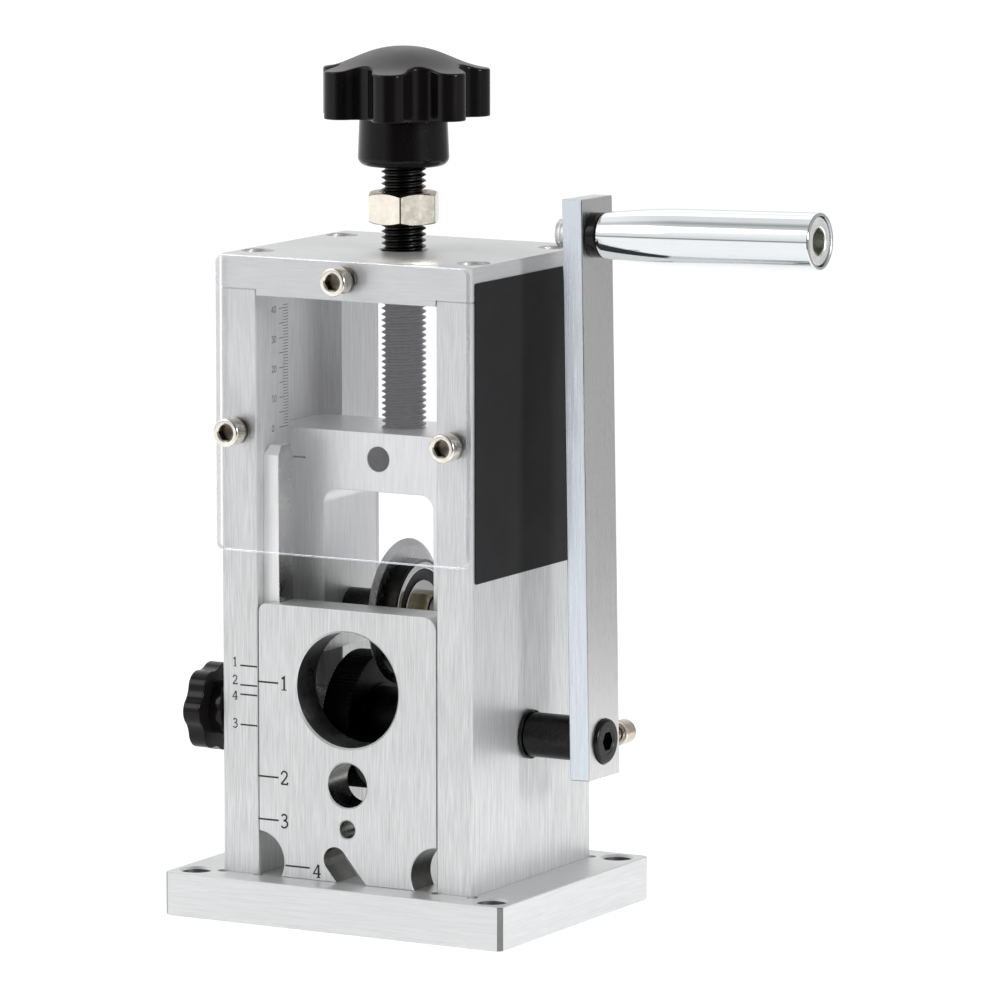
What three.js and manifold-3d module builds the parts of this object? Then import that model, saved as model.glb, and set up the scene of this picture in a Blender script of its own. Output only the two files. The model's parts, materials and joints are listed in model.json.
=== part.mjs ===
// Hand crank wire stripper for a bench, in millimetres.
// +Z is up, the wire goes in at the front, which faces -Y, and the crank is on the +X side.
// The origin is the centre of the base plate's underside.
import * as THREE from 'three';
import { mergeVertices } from 'three/addons/utils/BufferGeometryUtils.js';
import Module from 'manifold-3d';

const wasm = await Module();
wasm.setup();

// Facets round a circle
const fineSides = 36;
const mediumSides = 20;
const smallSides = 10;

// Gaps between neighbours
const runningGap = 0.3;
const pocketGap = 0.2;
const cutOverrun = 1;

// Base plate
const baseWidth = 130;
const baseDepth = 104;
const baseThickness = 15;
const baseCornerChamfer = 1.5;
const edgeChamfer = 0.4;
const mountHoleRadius = 5;
const mountHoleChamfer = 0.8;
const mountHoleInset = 8;
const pocketDepth = 3;
const pocketReliefRadius = 2;

// Frame: two side plates and a top plate
const bodyWidth = 96;
const bodyDepth = 82;
const sidePlateThickness = 13.5;
const frameHeight = 198;
const topPlateThickness = 11.5;
const topTongueDepth = 2;
const frameScrewInsetX = 6.75;
const frameScrewInsetY = 13;
const frameScrewDepth = 15;
const baseCounterboreDepth = 7;
const topCounterboreDepth = 6.8;
const counterboreRadius = 5.5;

// Carrier that holds the blade and slides in a groove of each side plate
const axisForward = 2;
const grooveDepth = 8;
const carrierDepth = 34.8;
const carrierLegGap = 1.5;
const carrierHeight = 75.5;
const windowWidth = 42;
const windowHeight = 55.5;
const windowCornerRadius = 5;
const grubRadius = 4;
const grubProud = 1.2;
const grubBelowTop = 8.9;

// Adjusting screw with its lock nut and star knob
const adjusterRadius = 7.5;
const adjusterJournalRadius = 5;
const adjusterJournalLength = 16;
const adjusterLength = 88;
const adjusterTangRadius = 6;
const adjusterTangLength = 20;
const adjusterBoreGap = 0.5;
const lockNutAcrossFlats = 22.4;
const lockNutHeight = 10.5;
const lockNutCornerCut = 1.4;
const lockNutAbovePlate = 9;
const lockNutTurn = THREE.MathUtils.degToRad(24.3);
const knobLobes = 7;
const knobDomeRings = [0.76, 0.52, 0.26];
const knobDomeFullness = 1.2;
const knobLobePoints = 10;
const topKnobRadius = 29;
const topKnobValleyRadius = 20.8;
const topKnobLobeRadius = 5.95;
const topKnobHubRadius = 15.3;
const topKnobHubFlare = 0.7;
const topKnobHubRound = 3;
const topKnobHubHeight = 16.5;
const knobEdge = 0.6;
const topKnobRimHeight = 16;
const topKnobDomeHeight = 7.4;
const topKnobTurn = THREE.MathUtils.degToRad(-71.8);

// Blade and the bearing and axle that carry it
const bladeRadius = 24.6;
const bladeGap = 1.9;
const bladeThickness = 2.4;
const bladeBevel = 2.5;
const bladeEdgeHalf = 0.15;
const axleRadius = 5;
const hubRadius = 18;
const hubDepth = 5.5;
const hubFloor = 1;
const hubSpigotRadius = 9.7;
const hubSpigotLength = 3.6;
const hubAxleClearance = 2;
const clampRingRadius = 14;
const bearingRadius = 17;
const bearingOuterRingWall = 2.2;
const bearingInnerRingRadius = 11;
const bearingWidth = 4.8;
const axleNutAcrossFlats = 14;
const axleNutWidth = 5.6;
const axleSleeveRadius = 6.6;

// Drive shaft with the two feed wheels
const shaftHeight = 64;
const shaftRadius = 7.5;
const shaftOutreach = 30;
const shaftSocketAcrossFlats = 6;
const shaftSocketDepth = 8;
const shaftEndChamfer = 0.8;
const wheelRadius = 23.5;
const wheelToothDepth = 0.8;
const wheelTeeth = 24;
const wheelOuterEnd = 19;
const wheelGapHalf = 8.6;
const wheelSpacerRadius = 11.5;
const shaftSpacerRadius = 10;
const bushSleeveWall = 2;
const bushFlangeRadius = 13;
const bushFlangeThickness = 2.5;
const bushLipThickness = 2;
const shaftRingRadius = 8.3;
const shaftRingThickness = 1.2;

// Crank arm and its turning handle
const armThickness = 7.5;
const armWidth = 21.2;
const armLength = 193.7;
const armShaftFromEnd = 12.4;
const armHandleFromEnd = 12.3;
const armStandOff = 21.1;
const armLean = THREE.MathUtils.degToRad(-0.85);
const armTilt = THREE.MathUtils.degToRad(1.45);
const armScrewStandOff = 4.2;
const armScrewHeadRadius = 4.2;
const armScrewHeadHeight = 5.8;
const armScrewRadius = 2.5;
const armScrewSocketAcrossFlats = 4;
const armScrewSocketDepth = 3;
const armWasherThickness = 1.6;
const handleBoltRadius = 5;
const handleBoltInner = 5;
const handleBoltHeadRadius = 8;
const handleBoltHeadHeight = 6.5;
const handleBoltSocketAcrossFlats = 8;
const handleBoltSocketDepth = 5;
const handleBoltRecess = 0.5;
const handleSpacerRadius = 7.5;
const handleSpacerLength = 4;
const handleOffset = -2.3;
const handleLength = 79.2;
const handleInnerRadius = 7.7;
const handleOuterRadius = 9.5;
const handleSwellLength = 28;
const handleEndRound = 1.2;

// Guide plate with the wire holes
const guideThickness = 13.8;
const guideHeight = 92.5;
const guideSideGap = 0.2;
const guideLeftCornerRadius = 2.8;
const guideRightCornerRadius = 4.6;
const guideHoles = [
  { radius: 19.5, height: 65.4, sides: fineSides },
  { radius: 7.5, height: 33.2, sides: mediumSides },
  { radius: 3, height: 18.3, sides: smallSides },
];
const guideHoleChamfer = 0.5;
const notchWidth = 8.8;
const notchHeight = 7.6;
const notchOffset = -4.6;
const notchTilt = THREE.MathUtils.degToRad(40);
const guideReliefRadius = 10;
const guideReliefHeight = 5;
const guideLipThickness = 4.1;

// Clamp strip beside the guide plate, and the side knob that presses on it
const stripWidth = 6;
const stripAboveBase = 16;
const stripHeight = 129;
const stripBevel = 3;
const clampHeight = 69.4;
const clampSetBack = 7.4;
const clampStudRadius = 4;
const clampPadRadius = 3.7;
const clampPadThickness = 1.9;
const clampKnobHubRadius = 9;
const clampKnobHubLength = 4.6;
const clampKnobRadius = 15.2;
const clampKnobValleyRadius = 13.5;
const clampKnobLobeRadius = 5.5;
const clampKnobThickness = 7.9;
const clampKnobDome = 1.4;
const clampKnobTurn = THREE.MathUtils.degToRad(-90);
const clampStudGrip = 8;

// Clear shield on three spaced screws
const shieldHeight = 99.5;
const shieldThickness = 2.5;
const shieldSpacing = 1.1;
const shieldCornerRadius = 2.5;
const shieldCornerSegments = 4;
const shieldSideScrewAboveBottom = 40.4;
const shieldTopScrewBelowTop = 6.5;
const shieldScrewDepth = 12;
const shieldScrewHeadRadius = 4.8;
const shieldScrewHeadHeight = 5.3;
const shieldSpacerRadius = 4.8;
const screwRadius = 3;
const screwHeadRadius = 5;
const screwHeadHeight = 6;
const screwHeadChamfer = 0.5;
const screwSocketAcrossFlats = 5;
const screwSocketDepth = 3;
const springWasherSplit = 0.8;
const springWasherSlant = THREE.MathUtils.degToRad(30);

// Black side label
const labelWidth = 70;
const labelHeight = 99.8;
const labelThickness = 0.4;
const labelBelowTop = 5.3;
const labelFromFront = 1.6;

// Places worked out from the sizes above
const shaftY = -axisForward;
const frontY = -bodyDepth / 2;
const innerHalf = bodyWidth / 2 - sidePlateThickness;
const grooveFloorX = innerHalf + grooveDepth;
const sideTop = baseThickness + frameHeight;
const bodyTop = sideTop + topPlateThickness;
const carrierBottom = shaftHeight + wheelRadius + carrierLegGap;
const carrierTop = carrierBottom + carrierHeight;
const bladeHeight = shaftHeight + wheelSpacerRadius + bladeGap + bladeRadius;
const carrierHalf = grooveFloorX - runningGap;
const frameScrewX = bodyWidth / 2 - frameScrewInsetX;
const frameScrewY = bodyDepth / 2 - frameScrewInsetY;
const frameScrewPlaces = [-1, 1].flatMap((x) => [-1, 1].map((y) => [x * frameScrewX, y * frameScrewY]));
const screwHoleRadius = screwRadius + runningGap;
const guideBackY = frontY + guideThickness;
const stripFrontY = frontY + guideLipThickness + runningGap;
const clampY = frontY + clampSetBack;
const shieldBottom = bodyTop - shieldHeight;
const shieldFrontY = frontY - shieldSpacing - shieldThickness;
const shieldScrewPlaces = [
  [-frameScrewX, shieldBottom + shieldSideScrewAboveBottom],
  [frameScrewX, shieldBottom + shieldSideScrewAboveBottom],
  [0, bodyTop - shieldTopScrewBelowTop],
];

// Materials
const aluminium = { color: 0xc9cacb, roughness: 0.42, metalness: 0.9 };
const blackSteel = { color: 0x1b1b1c, roughness: 0.45, metalness: 0.4 };
const blackPlastic = { color: 0x101011, roughness: 0.25, metalness: 0 };
const nickel = { color: 0xc8c1b4, roughness: 0.25, metalness: 1 };
const bladeSteel = { color: 0xb4b6b8, roughness: 0.3, metalness: 1 };
const chrome = { color: 0xd9dcdf, roughness: 0.08, metalness: 1 };
const bronze = { color: 0x8a7d4e, roughness: 0.4, metalness: 0.9 };
const acrylic = { color: 0xe8eef2, roughness: 0.05, metalness: 0, transparent: true, opacity: 0.25 };
const labelBlack = { color: 0x232324, roughness: 0.6, metalness: 0 };

// How far in from both tangents the middle of a round edge lies, as a share of its radius
const roundInset = 1 - Math.SQRT1_2;

// Makes a manifold solid of a closed geometry.
function solid(geometry) {
  const plain = new THREE.BufferGeometry();
  plain.setAttribute('position', geometry.attributes.position);
  plain.setIndex(geometry.index);
  const merged = mergeVertices(plain);
  const corners = merged.index.array;
  const kept = [];
  for (let i = 0; i < corners.length; i += 3) {
    const [a, b, c] = [corners[i], corners[i + 1], corners[i + 2]];
    if (a !== b && b !== c && c !== a) {
      kept.push(a, b, c);
    }
  }
  const vertProperties = new Float32Array(merged.attributes.position.array);
  return new wasm.Manifold(new wasm.Mesh({ numProp: 3, vertProperties, triVerts: new Uint32Array(kept) }));
}

function geometryOf(body) {
  const mesh = body.getMesh();
  const geometry = new THREE.BufferGeometry();
  geometry.setAttribute('position', new THREE.BufferAttribute(mesh.vertProperties, 3));
  geometry.setIndex(new THREE.BufferAttribute(mesh.triVerts, 1));
  return geometry;
}

// Cuts every tool geometry out of a blank, and then joins the additions to it.
function machined(blank, tools, additions = []) {
  let body = solid(blank);
  for (const tool of tools) {
    body = body.subtract(solid(tool));
  }
  for (const addition of additions) {
    body = body.add(solid(addition));
  }
  return geometryOf(body);
}

function block(x0, x1, y0, y1, z0, z1) {
  const geometry = new THREE.BoxGeometry(x1 - x0, y1 - y0, z1 - z0);
  return geometry.translate((x0 + x1) / 2, (y0 + y1) / 2, (z0 + z1) / 2);
}

// A closed profile of [radius, height] points, turned round the Z axis.
// The points run anticlockwise in the plane of radius and height.
function turned(profile, sides) {
  const points = profile.map(([radius, height]) => new THREE.Vector2(radius, height));
  if (profile[0][0] > 0) {
    points.push(points[0].clone());
  }
  return new THREE.LatheGeometry(points, sides).rotateX(Math.PI / 2);
}

function rod(radius, z0, z1, sides, chamfer = 0) {
  const profile = [[0, z0], [radius - chamfer, z0], [radius - chamfer, z1], [0, z1]];
  if (chamfer > 0) {
    profile.splice(2, 0, [radius, z0 + chamfer], [radius, z1 - chamfer]);
  }
  return turned(profile, sides);
}

function tube(innerRadius, outerRadius, z0, z1, sides, chamfer = 0) {
  const profile = [
    [innerRadius, z0], [outerRadius - chamfer, z0], [outerRadius - chamfer, z1], [innerRadius, z1],
  ];
  if (chamfer > 0) {
    profile.splice(2, 0, [outerRadius, z0 + chamfer], [outerRadius, z1 - chamfer]);
  }
  return turned(profile, sides);
}

// A drill along Z through a wall from z0 to z1, with a countersunk edge at both faces.
function drill(radius, z0, z1, sides, chamfer) {
  const mouth = radius + chamfer + cutOverrun;
  const profile = [
    [0, z0 - cutOverrun], [mouth, z0 - cutOverrun], [radius, z0 + chamfer],
    [radius, z1 - chamfer], [mouth, z1 + cutOverrun], [0, z1 + cutOverrun],
  ];
  return turned(profile, sides);
}

function hexPrism(acrossFlats, z0, z1) {
  return new THREE.CylinderGeometry(acrossFlats / Math.sqrt(3), acrossFlats / Math.sqrt(3), z1 - z0, 6)
    .rotateX(Math.PI / 2)
    .translate(0, 0, (z0 + z1) / 2);
}

// Turns a geometry that was made along Z so that it lies along X or along Y.
function alongX(geometry) {
  return geometry.rotateY(Math.PI / 2);
}

function alongY(geometry) {
  return geometry.rotateX(-Math.PI / 2);
}

// A plate of the outline's shape, z0 to z1, with its face edges chamfered.
function plate(shape, z0, z1, chamfer, curveSegments = 3) {
  return new THREE.ExtrudeGeometry(shape, {
    depth: z1 - z0 - 2 * chamfer,
    bevelEnabled: chamfer > 0,
    bevelThickness: chamfer,
    bevelSize: chamfer,
    bevelOffset: -chamfer,
    bevelSegments: 1,
    curveSegments,
  }).translate(0, 0, z0 + chamfer);
}

// A rectangle's outline with cut corners.
function cutRectangle(x0, x1, y0, y1, cut) {
  const shape = new THREE.Shape();
  shape.moveTo(x0 + cut, y0);
  shape.lineTo(x1 - cut, y0);
  shape.lineTo(x1, y0 + cut);
  shape.lineTo(x1, y1 - cut);
  shape.lineTo(x1 - cut, y1);
  shape.lineTo(x0 + cut, y1);
  shape.lineTo(x0, y1 - cut);
  shape.lineTo(x0, y0 + cut);
  shape.closePath();
  return shape;
}

function roundedRectangle(x0, x1, y0, y1, radius) {
  const shape = new THREE.Shape();
  shape.absarc(x1 - radius, y0 + radius, radius, -Math.PI / 2, 0, false);
  shape.absarc(x1 - radius, y1 - radius, radius, 0, Math.PI / 2, false);
  shape.absarc(x0 + radius, y1 - radius, radius, Math.PI / 2, Math.PI, false);
  shape.absarc(x0 + radius, y0 + radius, radius, Math.PI, 1.5 * Math.PI, false);
  shape.closePath();
  return shape;
}

// A socket cap screw along Z: the head stands on z = 0 and the shank goes down from it.
function capScrew(head, shank, socket) {
  const profile = [
    [0, -shank.length], [shank.radius, -shank.length], [shank.radius, 0],
    [head.radius, 0], [head.radius, head.height - screwHeadChamfer],
    [head.radius - screwHeadChamfer, head.height], [0, head.height],
  ];
  const key = hexPrism(socket.acrossFlats, head.height - socket.depth, head.height + cutOverrun);
  return machined(turned(profile, smallSides), [key]);
}

function frameScrew(length, headRadius = screwHeadRadius, headHeight = screwHeadHeight) {
  return capScrew(
    { radius: headRadius, height: headHeight },
    { radius: screwRadius, length },
    { acrossFlats: screwSocketAcrossFlats, depth: screwSocketDepth },
  );
}

// A spring washer from z = 0 up, split once on its +X side.
function springWasher(innerRadius, outerRadius, thickness) {
  const ring = tube(innerRadius, outerRadius, 0, thickness, smallSides);
  const reach = outerRadius + cutOverrun;
  const split = block(0, reach, -springWasherSplit / 2, springWasherSplit / 2, -2 * thickness, 2 * thickness)
    .rotateX(springWasherSlant)
    .translate(0, 0, thickness / 2);
  return machined(ring, [split]);
}

// The outline radius of a star knob at an angle: round lobes, and round valleys tangent to them.
function starRadius(angle, { valleyRadius, peakRadius, lobeRadius }) {
  const halfStep = Math.PI / knobLobes;
  const cosine = Math.cos(halfStep);
  const lobeOut = peakRadius - lobeRadius;
  const apart = lobeOut ** 2 + valleyRadius ** 2 - 2 * lobeOut * valleyRadius * cosine;
  const arcRadius = (apart - lobeRadius ** 2) / (2 * (lobeRadius + lobeOut * cosine - valleyRadius));
  const arcOut = valleyRadius + arcRadius;
  const share = lobeRadius / (lobeRadius + arcRadius);
  const tangentX = lobeOut + share * (arcOut * cosine - lobeOut);
  const tangentY = share * arcOut * Math.sin(halfStep);
  const fromLobe = Math.abs(angle - 2 * halfStep * Math.round(angle / (2 * halfStep)));
  if (fromLobe < Math.atan2(tangentY, tangentX)) {
    return lobeOut * Math.cos(fromLobe) + Math.sqrt(lobeRadius ** 2 - (lobeOut * Math.sin(fromLobe)) ** 2);
  }
  const fromValley = halfStep - fromLobe;
  return arcOut * Math.cos(fromValley) - Math.sqrt(arcRadius ** 2 - (arcOut * Math.sin(fromValley)) ** 2);
}

// How far a knob's dome has dropped at a share of its radius, as a share of its height: a bell.
function domeDrop(share) {
  return Math.sin((Math.PI / 2) * share ** knobDomeFullness) ** 2;
}

// A star knob's body: upright sides on a flat underside at z = 0, under a dome that drops towards
// the tips of the lobes.
function starBody({ outline, height, dome, edge }) {
  const count = knobLobes * knobLobePoints;
  const rings = [
    { inset: edge / 2, z: 0, share: 1 },
    { inset: 0, z: edge, share: 1 },
    { inset: 0, drop: edge, share: 1 },
    { inset: edge, drop: 0, share: 1 },
    ...knobDomeRings.map((share) => ({ inset: edge, drop: 0, share })),
  ];
  const positions = [0, 0, 0];
  for (const ring of rings) {
    for (let i = 0; i < count; i += 1) {
      const angle = (2 * Math.PI * i) / count;
      const radius = (starRadius(angle, outline) - ring.inset) * ring.share;
      const z = ring.z ?? height - dome * domeDrop(radius / outline.peakRadius) - ring.drop;
      positions.push(radius * Math.cos(angle), radius * Math.sin(angle), z);
    }
  }
  positions.push(0, 0, height);
  const last = positions.length / 3 - 1;
  const index = [];
  for (let i = 0; i < count; i += 1) {
    const next = (i + 1) % count;
    index.push(0, 1 + next, 1 + i);
    index.push(last, last - count + i, last - count + next);
    for (let r = 0; r < rings.length - 1; r += 1) {
      const low = 1 + r * count;
      const high = low + count;
      index.push(low + i, low + next, high + next, low + i, high + next, high + i);
    }
  }
  const geometry = new THREE.BufferGeometry();
  geometry.setAttribute('position', new THREE.Float32BufferAttribute(positions, 3));
  geometry.setIndex(index);
  return geometry;
}

const part = new THREE.Group();

// Adds a named mesh to a group, with its own material.
function add(name, geometry, look, parent = part) {
  const mesh = new THREE.Mesh(geometry, new THREE.MeshStandardMaterial(look));
  mesh.name = name;
  parent.add(mesh);
  return mesh;
}

// Base plate: bench holes at the corners, a pocket under each side plate, screws from below
const mountHoleX = baseWidth / 2 - mountHoleInset;
const mountHoleY = baseDepth / 2 - mountHoleInset;
const pocketFloor = baseThickness - pocketDepth;
const baseTools = [];
for (const x of [-1, 1]) {
  for (const y of [-1, 1]) {
    baseTools.push(
      drill(mountHoleRadius, 0, baseThickness, mediumSides, mountHoleChamfer)
        .translate(x * mountHoleX, y * mountHoleY, 0),
    );
    for (const cornerX of [innerHalf, bodyWidth / 2]) {
      baseTools.push(
        rod(pocketReliefRadius, pocketFloor, baseThickness + cutOverrun, smallSides)
          .translate(x * cornerX, y * (bodyDepth / 2), 0),
      );
    }
  }
  const pocket = block(
    innerHalf - pocketGap, bodyWidth / 2 + pocketGap, -bodyDepth / 2 - pocketGap, bodyDepth / 2 + pocketGap,
    pocketFloor, baseThickness + cutOverrun,
  );
  baseTools.push(x > 0 ? pocket : pocket.translate(-innerHalf - bodyWidth / 2, 0, 0));
}
for (const [x, y] of frameScrewPlaces) {
  baseTools.push(rod(screwHoleRadius, -cutOverrun, baseThickness, smallSides).translate(x, y, 0));
  baseTools.push(rod(counterboreRadius, -cutOverrun, baseCounterboreDepth, smallSides).translate(x, y, 0));
}
const baseShape = cutRectangle(
  -baseWidth / 2, baseWidth / 2, -baseDepth / 2, baseDepth / 2, baseCornerChamfer,
);
add('base_plate', machined(plate(baseShape, 0, baseThickness, edgeChamfer), baseTools), aluminium);

const baseScrewLength = baseThickness - baseCounterboreDepth + frameScrewDepth;
frameScrewPlaces.forEach(([x, y], i) => {
  const screw = add(`base_screw_${i + 1}`, frameScrew(baseScrewLength), nickel);
  screw.position.set(x, y, baseCounterboreDepth);
  screw.rotation.x = Math.PI;
});

// Side plates: carrier groove, seat of the shaft's bush behind a lip, and screw holes
const bushBore = shaftRadius + runningGap;
const bushBoreRadius = bushBore + bushSleeveWall + runningGap;
const bushSeatEnd = bodyWidth / 2 - bushLipThickness;
const frameScrewBottom = baseThickness + frameScrewDepth + runningGap;
const topScrewSeat = bodyTop - topCounterboreDepth;
const topScrewEnd = sideTop - frameScrewDepth - runningGap;
for (const [name, side] of [['side_plate_left', -1], ['side_plate_right', 1]]) {
  const outline = cutRectangle(innerHalf, bodyWidth / 2, -bodyDepth / 2, bodyDepth / 2, edgeChamfer);
  const grooveHalf = carrierDepth / 2 + runningGap;
  const tools = [
    block(innerHalf - cutOverrun, grooveFloorX, shaftY - grooveHalf, shaftY + grooveHalf,
      baseThickness, sideTop + cutOverrun),
    alongX(rod(bushBoreRadius, innerHalf - cutOverrun, bushSeatEnd, mediumSides))
      .translate(0, shaftY, shaftHeight),
    alongX(rod(bushBore, bushSeatEnd - cutOverrun, bodyWidth / 2 + cutOverrun, mediumSides))
      .translate(0, shaftY, shaftHeight),
    alongY(rod(screwHoleRadius, 0, shieldScrewDepth + cutOverrun + runningGap, smallSides))
      .translate(frameScrewX, frontY - cutOverrun, shieldScrewPlaces[0][1]),
  ];
  for (const y of [-frameScrewY, frameScrewY]) {
    tools.push(
      rod(screwHoleRadius, pocketFloor - cutOverrun, frameScrewBottom, smallSides)
        .translate(frameScrewX, y, 0),
      rod(screwHoleRadius, topScrewEnd, sideTop + cutOverrun, smallSides)
        .translate(frameScrewX, y, 0),
    );
  }
  if (side < 0) {
    tools.push(
      alongX(drill(clampStudRadius + runningGap, innerHalf, bodyWidth / 2, smallSides, edgeChamfer))
        .translate(0, clampY, clampHeight),
    );
  }
  const geometry = machined(plate(outline, pocketFloor, sideTop, edgeChamfer), tools);
  if (side < 0) {
    geometry.scale(-1, 1, 1);
    const index = geometry.index.array;
    for (let i = 0; i < index.length; i += 3) {
      [index[i], index[i + 1]] = [index[i + 1], index[i]];
    }
  }
  add(name, geometry, aluminium);
}

// Top plate: tongue between the side plates, clearance bore for the adjusting screw
const topTools = [
  drill(adjusterRadius + adjusterBoreGap, sideTop - topTongueDepth, bodyTop, mediumSides, edgeChamfer)
    .translate(0, shaftY, 0),
  alongY(rod(screwHoleRadius, 0, shieldScrewDepth + cutOverrun + runningGap, smallSides))
    .translate(0, frontY - cutOverrun, shieldScrewPlaces[2][1]),
];
for (const [x, y] of frameScrewPlaces) {
  topTools.push(rod(screwHoleRadius, sideTop - cutOverrun, bodyTop, smallSides).translate(x, y, 0));
  topTools.push(rod(counterboreRadius, topScrewSeat, bodyTop + cutOverrun, mediumSides).translate(x, y, 0));
}
const topOutline = cutRectangle(-bodyWidth / 2, bodyWidth / 2, -bodyDepth / 2, bodyDepth / 2, edgeChamfer);
const tongueHalf = innerHalf - pocketGap;
const tongue = block(
  -tongueHalf, tongueHalf, -bodyDepth / 2, bodyDepth / 2, sideTop - topTongueDepth, sideTop + edgeChamfer,
);
const topBlank = machined(plate(topOutline, sideTop, bodyTop, edgeChamfer), [], [tongue]);
add('top_plate', machined(topBlank, topTools), aluminium);

const topScrewLength = topScrewSeat - sideTop + frameScrewDepth;
frameScrewPlaces.forEach(([x, y], i) => {
  add(`top_screw_${i + 1}`, frameScrew(topScrewLength), nickel).position.set(x, y, topScrewSeat);
});

// Carrier: an inverted U whose legs run in the grooves
const carrierShape = new THREE.Shape();
const windowHalf = windowWidth / 2;
carrierShape.moveTo(-carrierHalf, 0);
carrierShape.lineTo(-windowHalf, 0);
const windowArcX = windowHalf - windowCornerRadius;
const windowArcZ = windowHeight - windowCornerRadius;
carrierShape.absarc(-windowArcX, windowArcZ, windowCornerRadius, Math.PI, Math.PI / 2, true);
carrierShape.absarc(windowArcX, windowArcZ, windowCornerRadius, Math.PI / 2, 0, true);
carrierShape.lineTo(windowHalf, 0);
carrierShape.lineTo(carrierHalf, 0);
carrierShape.lineTo(carrierHalf, carrierHeight - edgeChamfer);
carrierShape.lineTo(carrierHalf - edgeChamfer, carrierHeight);
carrierShape.lineTo(-carrierHalf + edgeChamfer, carrierHeight);
carrierShape.lineTo(-carrierHalf, carrierHeight - edgeChamfer);
carrierShape.closePath();
const carrierFrontY = shaftY - carrierDepth / 2;
const grubHeight = carrierTop - grubBelowTop;
const journalBoreRadius = adjusterJournalRadius + runningGap;
const journalBoreEnd = carrierTop - adjusterJournalLength - runningGap;
const carrierBlank = plate(carrierShape, 0, carrierDepth, edgeChamfer)
  .rotateX(Math.PI / 2)
  .translate(0, carrierFrontY + carrierDepth, carrierBottom);
const carrierTools = [
  alongX(rod(axleRadius + runningGap, -carrierHalf - cutOverrun, carrierHalf + cutOverrun, mediumSides))
    .translate(0, shaftY, bladeHeight),
  rod(journalBoreRadius, journalBoreEnd, carrierTop + cutOverrun, mediumSides).translate(0, shaftY, 0),
  alongY(rod(grubRadius + runningGap, -cutOverrun, carrierDepth / 2, smallSides))
    .translate(0, carrierFrontY, grubHeight),
];
add('carrier', machined(carrierBlank, carrierTools), aluminium);

// The grub screw's nose ends just short of the adjusting screw's journal.
const grubLength = carrierDepth / 2 - journalBoreRadius;
const grubProfile = [
  [0, -grubLength], [grubRadius, -grubLength], [grubRadius, 0],
  [grubRadius - roundInset * grubProud, grubProud / 2], [grubRadius / 2, grubProud], [0, grubProud],
];
add('carrier_grub_screw', turned(grubProfile, smallSides).rotateX(Math.PI / 2), blackSteel)
  .position.set(0, carrierFrontY, grubHeight);

// Adjusting screw: thread, journal held in the carrier, tang held in the knob
const adjusterProfile = [
  [0, -adjusterJournalLength], [adjusterJournalRadius, -adjusterJournalLength], [adjusterJournalRadius, 0],
  [adjusterRadius - edgeChamfer, 0], [adjusterRadius, edgeChamfer], [adjusterRadius, adjusterLength],
  [adjusterTangRadius, adjusterLength], [adjusterTangRadius, adjusterLength + adjusterTangLength],
  [0, adjusterLength + adjusterTangLength],
];
add('adjusting_screw', turned(adjusterProfile, mediumSides), blackSteel).position.set(0, shaftY, carrierTop);

// Lock nut: a hexagon whose corners are turned off at both faces
const nutCornerRadius = lockNutAcrossFlats / Math.sqrt(3);
const nutCone = turned(
  [
    [0, 0], [lockNutAcrossFlats / 2, 0], [nutCornerRadius, lockNutCornerCut],
    [nutCornerRadius, lockNutHeight - lockNutCornerCut], [lockNutAcrossFlats / 2, lockNutHeight],
    [0, lockNutHeight],
  ],
  mediumSides,
);
const nutBody = solid(hexPrism(lockNutAcrossFlats, 0, lockNutHeight)).intersect(solid(nutCone));
const nutBore = drill(adjusterRadius + runningGap, 0, lockNutHeight, mediumSides, edgeChamfer);
const lockNut = add('lock_nut', machined(geometryOf(nutBody), [nutBore]), nickel);
lockNut.position.set(0, shaftY, bodyTop + lockNutAbovePlate);
lockNut.rotation.z = lockNutTurn;

// Top knob: a flared hub under a domed star
const topKnobBody = starBody({
  outline: {
    valleyRadius: topKnobValleyRadius,
    peakRadius: topKnobRadius,
    lobeRadius: topKnobLobeRadius,
  },
  height: topKnobRimHeight + topKnobDomeHeight,
  dome: topKnobDomeHeight,
  edge: knobEdge,
}).translate(0, 0, topKnobHubHeight);
const hubRoundInset = roundInset * topKnobHubRound;
const topKnobHub = turned(
  [
    [0, 0], [topKnobHubRadius - topKnobHubRound, 0], [topKnobHubRadius - hubRoundInset, hubRoundInset],
    [topKnobHubRadius, topKnobHubRound], [topKnobHubRadius - topKnobHubFlare, topKnobHubHeight + cutOverrun],
    [0, topKnobHubHeight + cutOverrun],
  ],
  mediumSides,
);
const tangBore = rod(
  adjusterTangRadius + runningGap, -cutOverrun, adjusterTangLength, mediumSides,
);
const topKnob = add('top_knob', machined(machined(topKnobBody, [], [topKnobHub]), [tangBore]), blackPlastic);
topKnob.position.set(0, shaftY, carrierTop + adjusterLength + runningGap);
topKnob.rotation.z = topKnobTurn;

// Blade head on its axle, from left to right
const bladeGroup = new THREE.Group();
bladeGroup.position.set(0, shaftY, bladeHeight);
part.add(bladeGroup);
const bladeHalf = bladeThickness / 2;
const hubLeft = bladeHalf;
const hubRight = hubLeft + hubDepth;
const spigotLeft = -bladeHalf - hubSpigotLength;
const bearingLeft = hubLeft + hubFloor;
const bearingRight = bearingLeft + bearingWidth;
const axleBoreRadius = axleRadius + runningGap;
const bladeBore = hubSpigotRadius + runningGap;
const bladeProfile = [
  [bladeBore, -bladeHalf], [bladeRadius - bladeBevel, -bladeHalf],
  [bladeRadius, -bladeEdgeHalf], [bladeRadius, bladeEdgeHalf],
  [bladeRadius - bladeBevel, bladeHalf], [bladeBore, bladeHalf],
];
add('blade', alongX(turned(bladeProfile, fineSides)), bladeSteel, bladeGroup);

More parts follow.
